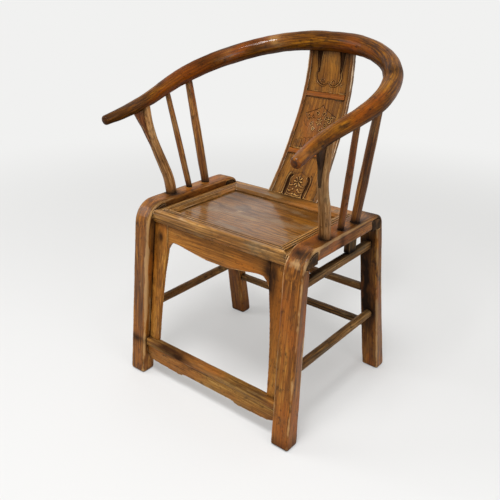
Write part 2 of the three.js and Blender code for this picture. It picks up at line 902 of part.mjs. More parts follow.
function stripTongue(grow) {
  const [low, high] = [stripFoot + stripTongueInset, apronTop - stripTongueInset];
  const far = (z) => innerX(z) + tongueLength + grow;
  const near = (z) => innerX(z) - 2 * tongueLength;
  const points = outline([
    [near(low), low - grow],
    [far(low), low - grow],
    [far(high), high + grow],
    [near(high), high + grow],
  ]);
  return leaningBoard(points, tongueFront - grow, tongueFront + tongueThickness + grow);
}

// Foot rail and the board under it

const towardLeft = (z) => clearance - innerX(z);
const towardRight = (z) => innerX(z) - clearance;

// Square tenon of a bar at a centre, wider by grow in its mortise
const squareTenon = (centre, across, half) => (grow) => squareRing(
  centre,
  across,
  alongZ,
  half + grow,
  half + grow,
  clearance,
);

function footRail() {
  const centre = new THREE.Vector3(0, footRailSetback, footRailHeight);
  return tenonedBar({
    axis: 'x',
    centre,
    start: towardLeft,
    end: towardRight,
    ring: squareRing(centre, alongY, alongZ, footRailHalfDepth, footRailHalfHeight, barRound),
    tenonRing: squareTenon(centre, alongY, footTenonHalf),
    tenonLength: footTenonLength,
  });
}

const footBoardTop = footRailHeight - footRailHalfHeight - clearance;
const footBoardFront = footRailSetback - footRailHalfDepth + footBoardInset;

function footBoard() {
  const half = footBoardShares.map(([out, down]) => {
    const z = footBoardTop - footBoardDrop * down;
    return [(innerX(z) - clearance) * out, z];
  });
  const other = half.slice(1).map(([x, z]) => [-x, z]).reverse();
  const top = innerX(footBoardTop) - clearance;
  const points = outline([...other, ...half, [top, footBoardTop], [-top, footBoardTop]]);
  return prismY(points, footBoardFront, footBoardFront + footBoardThickness);
}

function footBoardTongues(grow) {
  const front = footBoardFront + (footBoardThickness - tongueThickness) / 2;
  const [low, high] = [footBoardTop - footBoardDrop / 2, footBoardTop - tongueLength];
  const back = front + tongueThickness;
  const tongue = (reach, bottom, top) => block(-reach, reach, front - grow, back + grow, bottom, top);
  return [
    tongue(innerX(high) + tongueLength + grow, low - grow, high + grow),
    tongue(innerX(footBoardTop) - 2 * tongueLength + grow, high, footBoardTop + tongueLength + grow),
  ];
}

// Stretchers between the legs

function rearStretcher(height) {
  const centre = new THREE.Vector3(0, (rearLegFront(height) + rearLegRear(height)) / 2, height);
  return tenonedBar({
    axis: 'x',
    centre,
    start: towardLeft,
    end: towardRight,
    ring: squareRing(centre, alongY, alongZ, rearStretcherHalf, rearStretcherHalf, barRound),
    tenonRing: squareTenon(centre, alongY, stretcherTenonHalf),
    tenonLength: rearTenonLength,
  });
}

function sideStretcher(height, halfWidth, halfHeight, round) {
  const centre = new THREE.Vector3(middleX(height), 0, height);
  return tenonedBar({
    axis: 'y',
    centre,
    start: (z) => frontLegRear(z) + clearance,
    end: (z) => rearLegFront(z) - clearance,
    ring: squareRing(centre, alongX, alongZ, halfWidth, halfHeight, round),
    tenonRing: squareTenon(centre, alongX, stretcherTenonHalf),
    tenonLength: stretcherTenonLength,
  });
}

function strutBlock() {
  const x = middleX(upperStretcherHeight);
  const low = upperStretcherHeight + upperStretcherHalfHeight + clearance;
  const high = railBottom - clearance;
  const body = block(
    x - strutHalfWidth,
    x + strutHalfWidth,
    strutSetback - strutHalfLength,
    strutSetback + strutHalfLength,
    low,
    high,
  );
  const peg = (grow) => loft([
    levelRing(x, strutSetback, low - strutTenonLength - grow, strutTenonRadius + grow),
    levelRing(x, strutSetback, high + strutTenonLength + grow, strutTenonRadius + grow),
  ]);
  return { body: body.add(peg(0)), mortise: peg(clearance) };
}

// Bent side frame on the right, before its mortises
function bentFrame() {
  const points = outline([
    [frontLegFront(0), 0, footRound],
    [frontLegFront(seatHeight), seatHeight, frontBendRadius],
    [rearLegRear(seatHeight), seatHeight, rearBendRadius],
    [rearLegRear(kneeHeight), kneeHeight, kneeRadius],
    [rearLegRear(0), 0, footRound],
    [rearLegFront(0), 0, footRound],
    [rearLegFront(kneeHeight), kneeHeight, kneeRadius],
    [rearLegFront(railBottom), railBottom],
    [frontLegRear(railBottom), railBottom],
    [frontLegRear(0), 0, footRound],
  ]);
  const geometry = extruded(points, frameWidth, arrisRound).applyMatrix4(pullX);
  mapped(geometry, (p) => p.setX(blend(innerX(p.z), outerX(p.z), p.x / frameWidth)));
  return solidOf(geometry);
}

// Finishes
const finishes = {
  frame: { color: 0x96602f, roughness: 0.5, metalness: 0 },
  crest: { color: 0x7f4a1c, roughness: 0.38, metalness: 0 },
  spindle: { color: 0x7a4a28, roughness: 0.45, metalness: 0 },
  seat: { color: 0x96704f, roughness: 0.5, metalness: 0 },
  splat: { color: 0x8a5c26, roughness: 0.45, metalness: 0 },
  stretcher: { color: 0x6a4e34, roughness: 0.6, metalness: 0 },
};

function piece(name, geometry, finish) {
  const mesh = new THREE.Mesh(geometry, new THREE.MeshStandardMaterial(finishes[finish]));
  mesh.name = name;
  return mesh;
}

function pair(name, solid, finish) {
  const right = geometryOf(solid);
  return [piece(`left_${name}`, mirrored(right), finish), piece(`right_${name}`, right, finish)];
}

// Uprights and crest rail
const crestGrown = crestSolid(clearance);
const postLine = gooseNeckLine();
const post = upright(postLine, postTenonRadius);
const postGrown = upright(postLine, postTenonRadius, clearance).body;
const middleSpindle = upright(
  straightLine(middleSpindleSetback, spindleLean, spindleRadius),
  spindleTenonRadius,
);
const rearSpindle = upright(
  straightLine(rearSpindleSetback, rearSpindleLean, rearSpindleRadius),
  spindleTenonRadius,
);
const wingTongue = (grow) => wingSolid(postLine, wingTongueThickness / 2 + grow, wingTongueLength + grow);
const wing = wingSolid(postLine, wingThickness / 2, 0)
  .subtract(postGrown)
  .subtract(crestGrown)
  .add(wingTongue(0).subtract(crestGrown).subtract(post.mortises[1]));

const fitted = ({ body, tenons }, cuts = []) => addAll(subtractAll(body, [crestGrown, ...cuts]), tenons);

const splatStile = splatSlab(
  splatBottom,
  splatTop,
  0,
  splatThickness,
  (z) => splatHalfWidth(z) - stileWidth,
  splatHalfWidth,
);
const stileInside = (z) => splatHalfWidth(z) - stileWidth;
const panelFace = (z) => stileInside(z) - clearance;
const panelReach = (z) => stileInside(z) + splatTongue;

function splatPanel(z0, z1) {
  const [front, back] = [splatPanelInset, splatPanelInset + splatPanelThickness];
  return splatSlab(z0, z1, front, back, (z) => -panelReach(z), panelReach);
}

function splatGroove() {
  const [front, back] = [splatPanelInset - clearance, splatPanelInset + splatPanelThickness + clearance];
  const outer = (z) => panelReach(z) + clearance;
  return splatSlab(splatBottom - overrun, splatTop + overrun, front, back, (z) => -outer(z), outer);
}

function splatBead(height) {
  const [low, high] = [height - beadHalfHeight, height + beadHalfHeight];
  const body = splatSlab(low, high, -beadProud, splatThickness, (z) => -panelFace(z), panelFace);
  const [front, back] = [splatPanelInset, splatPanelInset + splatPanelThickness];
  const tenon = splatSlab(low, high, front, back, (z) => -panelReach(z), panelReach);
  return body.add(tenon);
}

function stileTenon(grow) {
  const front = (splatThickness - splatTenonThickness) / 2;
  return splatSlab(
    splatBottom - splatTenonLength - grow,
    splatBottom + overrun,
    front - grow,
    front + splatTenonThickness + grow,
    () => panelReach(splatBottom) + splatTenonInset - grow,
    () => splatFootHalfWidth - splatTenonInset + grow,
  );
}

// Mortise in the crest rail for the top of the splat
function mortiseForSplat() {
  const half = (z) => splatHalfWidth(z) + clearance;
  return splatSlab(
    splatTop - 2 * crestRadius,
    splatTop + clearance,
    -clearance,
    splatThickness + clearance,
    (z) => -half(z),
    half,
  );
}

const stile = splatStile.subtract(splatGroove()).add(stileTenon(0));
const lowerBeadHeight = blend(splatBottom, splatTop, lowerBeadShare);
const upperBeadHeight = blend(splatBottom, splatTop, upperBeadShare);
const panelGap = beadHalfHeight + clearance;
const lowerPanel = splatPanel(splatBottom, lowerBeadHeight - panelGap);
const middlePanel = splatPanel(lowerBeadHeight + panelGap, upperBeadHeight - panelGap);
const upperPanel = splatPanel(upperBeadHeight + panelGap, splatTop);
const crestMortises = [post, middleSpindle, rearSpindle].map(({ mortises }) => geometryOf(mortises[1]));
const crest = subtractAll(crestSolid(0), [
  ...crestMortises.map(solidOf),
  ...crestMortises.map((geometry) => solidOf(mirrored(geometry))),
  mortiseForSplat(),
]);

const back = new THREE.Group();
back.add(
  piece('crest_rail', geometryOf(crest), 'crest'),
  ...pair('front_post', fitted(post, [wingTongue(clearance)]), 'spindle'),
  ...pair('middle_spindle', fitted(middleSpindle), 'spindle'),
  ...pair('rear_spindle', fitted(rearSpindle), 'spindle'),
  ...pair('wing_bracket', wing, 'spindle'),
  ...pair('splat_stile', stile, 'splat'),
  piece('splat_lower_panel', geometryOf(lowerPanel), 'splat'),
  piece('splat_lower_bead', geometryOf(splatBead(lowerBeadHeight)), 'splat'),
  piece('splat_middle_panel', geometryOf(middlePanel), 'splat'),
  piece('splat_upper_bead', geometryOf(splatBead(upperBeadHeight)), 'splat'),
  piece('splat_upper_panel', geometryOf(upperPanel), 'splat'),
);

// Seat
const member = sideMember();
const battens = [-1, 1].map(batten);
const mirroredSolid = (solid) => solidOf(mirrored(geometryOf(solid)));
const seatMortises = [
  ...member.mortises,
  ...member.mortises.map(mirroredSolid),
  ...battens.map(({ mortise }) => mortise),
];
const frontRailCuts = [...seatMortises, apronTongues(clearance)[1]];
const rearRailCuts = [...seatMortises, stileTenon(clearance), mirroredSolid(stileTenon(clearance))];
const seat = new THREE.Group();
seat.add(
  piece('front_seat_rail', geometryOf(subtractAll(seatRail(1), frontRailCuts)), 'frame'),
  piece('rear_seat_rail', geometryOf(subtractAll(seatRail(-1), rearRailCuts)), 'frame'),
  ...pair('seat_side_member', addAll(member.body, member.tenons), 'frame'),
  piece('seat_panel', geometryOf(seatPanel()), 'seat'),
  piece('left_batten', geometryOf(battens[0].body), 'stretcher'),
  piece('right_batten', geometryOf(battens[1].body), 'stretcher'),
);

// Side frames and what stands between them
const footBar = footRail();
const upperStretcher = sideStretcher(
  upperStretcherHeight,
  upperStretcherHalfWidth,
  upperStretcherHalfHeight,
  barRound,
);
const lowerStretcher = sideStretcher(
  lowerStretcherHeight,
  lowerStretcherRadius,
  lowerStretcherRadius,
  lowerStretcherRadius * (2 - Math.SQRT2),
);
const strut = strutBlock();
const rearUpper = rearStretcher(rearUpperHeight);
const rearLower = rearStretcher(rearLowerHeight);
const sideFrame = subtractAll(bentFrame(), [
  railEnd(1, clearance),
  railEnd(-1, clearance),
  ...[post, middleSpindle, rearSpindle].map(({ mortises }) => mortises[0]),
  ...footBar.mortises,
  ...upperStretcher.mortises,
  ...lowerStretcher.mortises,
  ...rearUpper.mortises,
  ...rearLower.mortises,
  strut.mortise,
  stripTongue(clearance),
  footBoardTongues(clearance)[0],
]);

const strip = sideStrip().subtract(apronTongues(clearance)[0]).add(stripTongue(0));
const base = new THREE.Group();
base.add(
  ...pair('bent_frame', sideFrame, 'frame'),
  piece('front_apron', geometryOf(addAll(apron(), apronTongues(0))), 'frame'),
  ...pair('side_strip', strip, 'frame'),
  piece('foot_rail', geometryOf(footBar.bar.subtract(footBoardTongues(clearance)[1])), 'frame'),
  piece('foot_apron', geometryOf(addAll(footBoard(), footBoardTongues(0))), 'frame'),
  ...pair('upper_side_stretcher', upperStretcher.bar.subtract(strut.mortise), 'stretcher'),
  ...pair('strut_block', strut.body, 'stretcher'),
  ...pair('lower_side_stretcher', lowerStretcher.bar, 'stretcher'),
  piece('upper_rear_stretcher', geometryOf(rearUpper.bar), 'stretcher'),
  piece('lower_rear_stretcher', geometryOf(rearLower.bar), 'stretcher'),
);

const chair = new THREE.Group();
chair.add(base, seat, back);
const box = new THREE.Box3().setFromObject(chair);
chair.position.set(-(box.min.x + box.max.x) / 2, -(box.min.y + box.max.y) / 2, -box.min.z);

export default chair;
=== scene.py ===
# Chinese armchair with bent side frames, a horseshoe crest rail and a carved splat.
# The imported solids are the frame, and each is dressed here as the worn, waxed elm of the chair.
# Metres, +Z up. The front of the chair faces -Y, and left and right are as seen from the front.

import itertools
import math

import bmesh
import bpy
import numpy as np
from mathutils import Matrix, Vector


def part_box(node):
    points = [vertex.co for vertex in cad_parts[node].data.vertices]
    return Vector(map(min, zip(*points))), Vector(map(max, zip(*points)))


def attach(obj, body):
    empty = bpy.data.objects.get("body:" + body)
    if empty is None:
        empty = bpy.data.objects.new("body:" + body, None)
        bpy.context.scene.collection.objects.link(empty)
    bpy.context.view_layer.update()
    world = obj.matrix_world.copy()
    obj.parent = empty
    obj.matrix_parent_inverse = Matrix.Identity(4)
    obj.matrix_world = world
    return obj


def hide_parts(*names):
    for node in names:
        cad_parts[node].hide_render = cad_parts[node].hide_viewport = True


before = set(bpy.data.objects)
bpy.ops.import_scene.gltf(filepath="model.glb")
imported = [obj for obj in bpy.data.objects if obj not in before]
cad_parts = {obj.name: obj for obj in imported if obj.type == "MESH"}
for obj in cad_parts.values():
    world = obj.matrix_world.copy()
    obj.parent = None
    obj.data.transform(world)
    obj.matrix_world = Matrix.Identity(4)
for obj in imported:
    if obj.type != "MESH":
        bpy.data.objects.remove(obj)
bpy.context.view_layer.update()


# Side frames
# Front leg, side rail and rear leg of each side are one pole of elm, kerfed and bent hot round the
# ends of the seat rails. The wood is waxed and rubbed pale on its arrises, and its corners are
# painted dark for dust and for the shade in them.

class Output:
    """An output of a node. Arithmetic on it adds Math nodes to the same tree."""

    def __init__(self, nodes, socket):
        self.nodes = nodes
        self.socket = socket

    def math(self, operation, first, second, clamp=False):
        settings = {"operation": operation, "use_clamp": clamp}
        return self.nodes.add("ShaderNodeMath", settings, {0: first, 1: second})

    def __add__(self, other):
        return self.math("ADD", self, other)

    __radd__ = __add__

    def __sub__(self, other):
        return self.math("SUBTRACT", self, other)

    def __rsub__(self, other):
        return self.math("SUBTRACT", other, self)

    def __mul__(self, other):
        return self.math("MULTIPLY", self, other)

    __rmul__ = __mul__

    def clamped(self):
        return self.math("ADD", self, 0.0, clamp=True)

    def between(self, low, high):
        """0 below low, 1 above high, and smooth in between."""
        values = {"Value": self, "From Min": low, "From Max": high}
        return self.nodes.add("ShaderNodeMapRange", {"interpolation_type": "SMOOTHSTEP"}, values)


class Nodes:
    """A node tree, written from its first node to its last."""

    def __init__(self, tree):
        self.tree = tree
        tree.nodes.clear()

    def add(self, kind, settings=None, values=None, output=0):
        """A node of a kind: its settings first, then a value or a link for each named socket."""
        node = self.tree.nodes.new(kind)
        for key, value in (settings or {}).items():
            setattr(node, key, value)
        for key, value in (values or {}).items():
            if isinstance(value, Output):
                self.tree.links.new(value.socket, node.inputs[key])
            else:
                node.inputs[key].default_value = value
        return Output(self, node.outputs[output]) if node.outputs else None

    def mix(self, under, over, share):
        """One colour laid over another by a share."""
        values = {"Factor": share, 6: under, 7: over}
        return self.add("ShaderNodeMix", {"data_type": "RGBA"}, values, 2)


def linear(code):
    """The linear colour of a written sRGB code."""
    parts = [int(code[i:i + 2], 16) / 255 for i in (0, 2, 4)]
    return [p / 12.92 if p <= 0.04045 else ((p + 0.055) / 1.055) ** 2.4 for p in parts] + [1.0]


def waxed_wood(name, dark, middle, light, warm, rubbed_and_highlight, dirt_and_shade, haze="7c6a48", hazy=0.35,
               blotched=0.5, figure=0.3, streaks=1.0, veined=0.4, spotted=1.0, wear_and_highlight_share=1.0,
               grime_and_shade=1.0, rough=0.4, shine=0.1, coat=0.2, coat_rough=0.2):
    """Waxed elm: fibres and rings along the grain, pale on handled arrises and at painted
    highlights, dark where dust stays and where shade is painted into corners and hollows.

    Dark, middle, light and warm are the wood's own colours, and the next three lie on it. Each
    share from hazy to grime_and_shade says how strong a mark is, but spotted, which shortens the
    fibres.
    """
    material = bpy.data.materials.new(name)
    material.use_nodes = True
    nodes = Nodes(material.node_tree)
    add, mix = nodes.add, nodes.mix
    dark, middle, light, warm = map(linear, (dark, middle, light, warm))
    rubbed_and_highlight, dirt_and_shade, haze = map(linear, (rubbed_and_highlight, dirt_and_shade, haze))
    grain = add("ShaderNodeAttribute", {"attribute_name": "grain"}, output="Vector")

    def mark(attribute):
        return add("ShaderNodeAttribute", {"attribute_name": attribute}, output="Fac")

    def noise(across, along, detail, seed):
        stretched = add("ShaderNodeVectorMath", {"operation": "MULTIPLY_ADD"}, {
            0: grain,
            1: (across, across, along),
            2: (seed, seed, seed),
        })
        values = {"Vector": stretched, "Scale": 1.0, "Detail": detail, "Roughness": 0.58}
        return add("ShaderNodeTexNoise", values=values)

    broad = noise(15, 2.4, 3.0, 0.0)
    hue = noise(11, 4.0, 2.0, 3.9)
    patch = noise(42, 17, 3.0, 5.3)
    fibre = noise(260, 7.0 * spotted, 3.0, 2.1)
    pores = noise(720, 24, 2.0, 7.7)
    blotch = noise(70, 40, 4.0, 9.1)
    cloud = noise(26, 9, 3.0, 11.3)
    vein = noise(130, 11.0 * spotted, 3.0, 14.3)
    speck = noise(230, 95, 2.0, 17.7)

    wander = add("ShaderNodeCombineXYZ", values={0: broad, 1: hue, 2: 0.0})
    wandering = add("ShaderNodeVectorMath", {"operation": "MULTIPLY_ADD"}, {
        0: wander,
        1: (0.05, 0.05, 0.0),
        2: grain,
    })
    ring = add("ShaderNodeTexWave", {"wave_type": "RINGS", "rings_direction": "Z"}, {
        "Vector": wandering, "Scale": 42.0, "Distortion": 1.2, "Detail": 2.0, "Detail Scale": 1.6,
    }, "Fac")

    tint = mix(dark, middle, (broad * 0.5 + fibre * 0.5).between(0.38, 0.52))
    tint = mix(tint, light, (fibre * 0.6 + broad * 0.4).between(0.49, 0.64) * streaks)
    tint = mix(tint, warm, hue.between(0.46, 0.64) * 0.75)
    tint = mix(tint, dark, ring.between(0.5, 0.95) * figure)
    tint = mix(tint, dirt_and_shade, pores.between(0.55, 0.72) * 0.5)
    tint = mix(tint, dirt_and_shade, vein.between(0.55, 0.70) * veined)
    tint = mix(tint, dirt_and_shade, (speck * 0.75 + blotch * 0.25).between(0.56, 0.66) * 0.5)
    tint = mix(tint, haze, cloud.between(0.50, 0.68) * hazy)
    tint = mix(tint, dirt_and_shade, (blotch * 0.7 + broad * 0.3).between(0.53, 0.68) * blotched)

    near_arris = mark("edge") * patch.between(0.38, 0.62)
    tint = mix(tint, dirt_and_shade, near_arris * 0.55 * grime_and_shade)
    # Pale marks: handled arrises, and the polish spots, some of which paint highlights and sheen.
    worn_and_highlit = (mark("rub") * 0.7 + mark("polish_and_highlight") * 0.8 + patch * 1.7 - 1.22).between(0.1, 0.5) * wear_and_highlight_share
    tint = mix(tint, rubbed_and_highlight, (worn_and_highlit * 0.8).clamped())

    # Painted shade: ambient occlusion darkens corners and the gaps between parts, and with the
    # hollows and dust it draws the wood towards the dark colour.
    open_sky = add("ShaderNodeAmbientOcclusion", {"samples": 6}, {"Distance": 0.02}, "AO")
    corner = (1.0 - open_sky) * 0.95 + mark("hollow") * 0.7 + patch * 0.4 - 0.24
    shade_and_dirt = corner.between(0.08, 0.85) * grime_and_shade
    stain_and_shade = (mark("stain_and_shade") * (patch * 1.4 + 0.3)).clamped()
    tint = mix(tint, dirt_and_shade, (shade_and_dirt + stain_and_shade).clamped())

    gloss = (fibre * 0.2 + shade_and_dirt * 0.25 + stain_and_shade * 0.4 - worn_and_highlit * 0.06 + (rough - 0.1)).clamped()
    relief = fibre * 0.7 + pores * 0.5 + patch * 0.9
    bump = add("ShaderNodeBump", values={"Strength": 0.5, "Distance": 0.0009, "Height": relief},
               output="Normal")
    surface = add("ShaderNodeBsdfPrincipled", values={
        "Base Color": tint,
        "Roughness": gloss,
        "Normal": bump,
        "Specular IOR Level": shine,
        "Coat Weight": ((1.0 - shade_and_dirt - stain_and_shade) * coat + mark("polish_and_highlight") * 0.5).clamped(),
        "Coat Roughness": coat_rough,
    })
    add("ShaderNodeOutputMaterial", values={"Surface": surface})
    return material


frame_wood = waxed_wood("frame_wood", dark="5c340c", middle="965a1c", light="bc8436", warm="9c5416",
                        rubbed_and_highlight="c69c66", dirt_and_shade="20130a", haze="806036", hazy=0.25, blotched=0.7,
                        wear_and_highlight_share=0.8, coat=0.14, coat_rough=0.12)


def read(items, name, width, kind=float):
    values = np.zeros(len(items) * width, kind)
    items.foreach_get(name, values)
    return values.reshape(-1, width)


def store(mesh, name, values):
    """Keep one number or one vector for each point of a mesh."""
    vector = values.ndim == 2
    attribute = mesh.attributes.new(name, "FLOAT_VECTOR" if vector else "FLOAT", "POINT")
    attribute.data.foreach_set("vector" if vector else "value", values.astype(np.float32).ravel())


def spread(values, edges, times):
    """Values drawn towards the mean of their neighbours, so many times over."""
    ends = np.concatenate([edges[:, 0], edges[:, 1]])
    others = np.concatenate([edges[:, 1], edges[:, 0]])
    degree = np.maximum(np.bincount(ends, minlength=len(values)), 1)[:, None]
    for _ in range(times):
        sums = [np.bincount(ends, column[others], len(values)) for column in values.T]
        values = np.stack(sums, 1) / degree
    return values


def mark_wear(mesh, height=0.0009):
    """Mark the arrises that handling turns pale, the wood beside them, and the hollows.

    The hollows are darkened for dust and for the shade that falls in them.
    """
    points = read(mesh.vertices, "co", 3)
    normals = read(mesh.vertex_normals, "vector", 3)
    edges = read(mesh.edges, "vertices", 2, int)
    proud = ((points - spread(points, edges, times=8)) * normals).sum(1) / height
    rub = np.clip(proud, 0, 1)
    beside = spread(rub[:, None], edges, times=24)[:, 0]
    store(mesh, "rub", rub)
    store(mesh, "hollow", np.clip(-proud, 0, 1))
    store(mesh, "edge", np.clip(beside * 2.6 - 0.1, 0, 1) * (1 - rub))


def mark_spots(mesh, name, spots, already=0.0):
    """Mark given places. Each has a centre, a reach along each axis, and a depth."""
    points = read(mesh.vertices, "co", 3)
    total = np.zeros(len(points)) + already
    for centre, reach, depth in spots:
        away = np.linalg.norm((points - np.array(centre)) / np.array(reach), axis=1)
        total += depth * np.exp(-away ** 2)
    store(mesh, name, np.clip(total, 0, 1))


# Each piece is cut from a blank of its own, so no two show the same stretch of grain.
blanks = itertools.count(1)


def lay_grain(mesh, path, side):
    """Wood coordinates: two across the path that the fibres follow, and the length along it."""
    blank = next(blanks)
    own_place = (0.03 * (blank % 4) + 0.02, 0.02 * (blank % 5) + 0.01, 1.7 * blank)
    points = read(mesh.vertices, "co", 3)
    nearest = np.full(len(points), np.inf)
    grain = np.zeros((len(points), 3))
    gone = 0.0
    for start, end in zip(path[:-1], path[1:]):
        start, end = np.array(start), np.array(end)
        length = np.linalg.norm(end - start)
        along = (end - start) / length
        across = np.cross(along, side)
        across /= np.linalg.norm(across)
        offset = points - start
        reach = np.clip(offset @ along, 0, length)
        distance = ((offset - reach[:, None] * along) ** 2).sum(1)
        closer = distance < nearest
        nearest[closer] = distance[closer]
        columns = [offset @ np.cross(across, along), offset @ across, offset @ along + gone]
        grain[closer] = np.stack(columns, 1)[closer]
        gone += length
    store(mesh, "grain", grain + np.array(own_place))


def made_plain(piece):
    """Apply a piece's modifiers, so that it is a plain mesh at the origin."""
    evaluated = piece.evaluated_get(bpy.context.evaluated_depsgraph_get())
    mesh = bpy.data.meshes.new_from_object(evaluated)
    piece.modifiers.clear()
    piece.data = mesh
    mesh.polygons.foreach_set("use_smooth", np.ones(len(mesh.polygons), bool))
    return mesh


def stand_for(piece, node, material):
    """Dress a piece in its wood, and let it stand for a node of the frame."""
    piece.data.materials.clear()
    piece.data.materials.append(material)
    piece.data.polygons.foreach_set("material_index", np.zeros(len(piece.data.polygons), int))
    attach(piece, "root")
    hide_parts(node)


hand_work = bpy.data.textures.new("hand_work", "CLOUDS")
hand_work.noise_scale = 0.045
hand_work.noise_depth = 1


def worked(node, material, path, side=(1, 0, 0), mesh_size=0.0016, dents=0.0007, rounding=3,
           dark_spots=(), polish_and_highlight_spots=()):
    """A node of the frame remade as hand-worked wood: arrises rounded, faces not quite flat."""
    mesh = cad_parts[node].data.copy()
    piece = bpy.data.objects.new("worn_" + node, mesh)
    bpy.context.scene.collection.objects.link(piece)
    shape = bmesh.new()
    shape.from_mesh(mesh)
    bmesh.ops.remove_doubles(shape, verts=shape.verts, dist=1e-6)
    shape.to_mesh(mesh)
    shape.free()
    even = piece.modifiers.new("even mesh", "REMESH")
    even.mode = "VOXEL"
    even.voxel_size = mesh_size
    rounded = piece.modifiers.new("rounded arrises", "SMOOTH")
    rounded.factor = 0.5
    rounded.iterations = rounding
    dented = piece.modifiers.new("hand work", "DISPLACE")
    dented.texture = hand_work
    dented.texture_coords = "GLOBAL"
    dented.mid_level = 1.0
    dented.strength = dents
    mesh = made_plain(piece)
    mark_wear(mesh)
    lay_grain(mesh, path, side)
    mark_spots(mesh, "stain_and_shade", dark_spots)
    mark_spots(mesh, "polish_and_highlight", polish_and_highlight_spots)
    stand_for(piece, node, material)
    return piece


# The pole's middle line: how far out it stands, and its setback and height from foot to foot.
frame_middle = 0.25
frame_path = [
    (-0.2578, 0.0), (-0.2158, 0.425), (-0.2020, 0.462), (-0.1700, 0.482),
    (0.0600, 0.482), (0.0950, 0.474), (0.1120, 0.445), (0.1443, 0.25), (0.1878, 0.0),
]
# Most spots are stains, but those on the inner faces of the front legs and the front faces of the
# rear legs paint the shade that falls there.
frame_stains_and_shade = {
    "left": [
        ((-0.255, -0.262, 0.105), (0.03, 0.03, 0.012), 0.8),
        ((-0.222, -0.20, 0.30), (0.008, 0.03, 0.30), 0.7),
        ((-0.235, 0.11, 0.28), (0.04, 0.045, 0.22), 0.7),
        ((-0.248, -0.115, 0.5), (0.03, 0.03, 0.01), 0.7),
        ((-0.221, -0.07, 0.500), (0.014, 0.14, 0.014), 0.5),
        ((-0.248, 0.19, 0.02), (0.06, 0.06, 0.05), 0.6),
    ],
    "right": [
        ((0.249, -0.115, 0.502), (0.022, 0.03, 0.012), 1.0),
        ((0.238, -0.165, 0.500), (0.014, 0.016, 0.010), 0.55),
        ((0.262, -0.145, 0.500), (0.012, 0.014, 0.010), 0.4),
        ((0.240, -0.205, 0.488), (0.010, 0.014, 0.014), 0.5),
        ((0.249, -0.046, 0.502), (0.018, 0.018, 0.01), 0.6),
        ((0.249, 0.020, 0.502), (0.02, 0.02, 0.01), 0.6),
        ((0.271, -0.070, 0.475), (0.006, 0.016, 0.03), 0.8),
        ((0.271, -0.020, 0.470), (0.006, 0.03, 0.03), 0.5),
        ((0.262, 0.105, 0.490), (0.03, 0.02, 0.02), 0.8),
        ((0.235, 0.105, 0.30), (0.034, 0.045, 0.26), 1.0),
        ((0.250, 0.140, 0.18), (0.03, 0.03, 0.12), 0.5),
        ((0.262, 0.010, 0.500), (0.012, 0.05, 0.012), 0.35),
        ((0.262, -0.205, 0.465), (0.012, 0.012, 0.03), 0.6),
        ((0.222, -0.235, 0.16), (0.012, 0.03, 0.12), 0.7),
        ((0.245, -0.20, 0.35), (0.05, 0.012, 0.3), 0.6),
        ((0.250, -0.27, 0.01), (0.06, 0.05, 0.02), 0.6),
    ],
}
# Spots at the front bends paint the highlights there as well as polish; the others are wear.
frame_rubs_and_highlights = {
    "left": [
        ((-0.2487, -0.205, 0.492), (0.022, 0.02, 0.02), 0.45),
        ((-0.225, -0.245, 0.30), (0.006, 0.02, 0.35), 0.7),
        ((-0.248, -0.252, 0.30), (0.03, 0.02, 0.20), 0.4),
    ],
    "right": [
        ((0.236, -0.2225, 0.475), (0.016, 0.014, 0.013), 0.6),
        ((0.242, 0.065, 0.500), (0.02, 0.05, 0.012), 0.5),
        ((0.256, -0.224, 0.474), (0.014, 0.014, 0.014), 0.5),
        ((0.256, -0.175, 0.497), (0.012, 0.016, 0.010), 0.5),
        ((0.249, -0.19, 0.499), (0.016, 0.022, 0.012), 0.3),
        ((0.271, -0.10, 0.500), (0.006, 0.09, 0.006), 0.8),
        ((0.278, 0.15, 0.25), (0.006, 0.03, 0.3), 0.6),
        ((0.275, -0.225, 0.30), (0.005, 0.02, 0.3), 0.5),
    ],
}
for side_name, sign in (("left", -1), ("right", 1)):
    worked(
        side_name + "_bent_frame", frame_wood,
        [(sign * frame_middle, y, z) for y, z in frame_path],
        mesh_size=0.0021, dents=0.0014, rounding=4,
        dark_spots=frame_stains_and_shade[side_name], polish_and_highlight_spots=frame_rubs_and_highlights[side_name],
    )


# Seat rails and side members
# The front and rear rails run right through the bends and show their end grain outside them.
# Two side members are mitred and tenoned between them. The reeds at front and sides are
# painted dark, for dirt and for the shade in them.

def through(node, axis):
    """The straight line through the middle of a node's box along an axis, 0 for X to 2 for Z."""
    low, high = (np.array(corner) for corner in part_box(node))
    start, end = (low + high) / 2, (low + high) / 2
    start[axis], end[axis] = low[axis], high[axis]
    return [tuple(start), tuple(end)]


rail_wood = waxed_wood("rail_wood", dark="643f14", middle="97672c", light="c49250", warm="995d20",
                       rubbed_and_highlight="c6a074", dirt_and_shade="2a1a0c", haze="928060", hazy=0.4, streaks=1.2,
                       grime_and_shade=0.75, rough=0.38, coat=0.17)


def rail_stains(y, shade):
    """End grain at both ends of a rail, and the dark necks beside the side frames."""
    ends = [((sign * 0.273, y, 0.472), (0.016, 0.06, 0.04), 1.0) for sign in (-1, 1)]
    necks = [((sign * 0.2175, y, 0.488), (0.006, 0.05, 0.012), shade) for sign in (-1, 1)]
    return ends + necks


def reeded(piece, axis, places, half_width=0.0014, depth=0.0010):
    """Fine dark grooves along the top of a piece, at places across it on an axis."""
    mesh = piece.data
    points = read(mesh.vertices, "co", 3)
    # Only wood that faces up is cut, fully within 25 degrees of level and not at all past 49.
    upward = np.clip(read(mesh.vertex_normals, "vector", 3)[:, 2] * 4 - 2.6, 0, 1)
    gaps = [((points[:, axis] - place) / half_width) ** 2 for place in places]
    cut = np.exp(-np.min(gaps, axis=0)) * upward
    points[:, 2] -= depth * cut
    mesh.vertices.foreach_set("co", points.ravel())
    # The grooves are painted dark, as dirt and as the shade in them.
    for mark in ("hollow", "stain_and_shade"):
        values = mesh.attributes[mark].data
        darker = np.maximum(read(values, "value", 1)[:, 0], cut)
        values.foreach_set("value", darker.astype(np.float32))
    mesh.update()


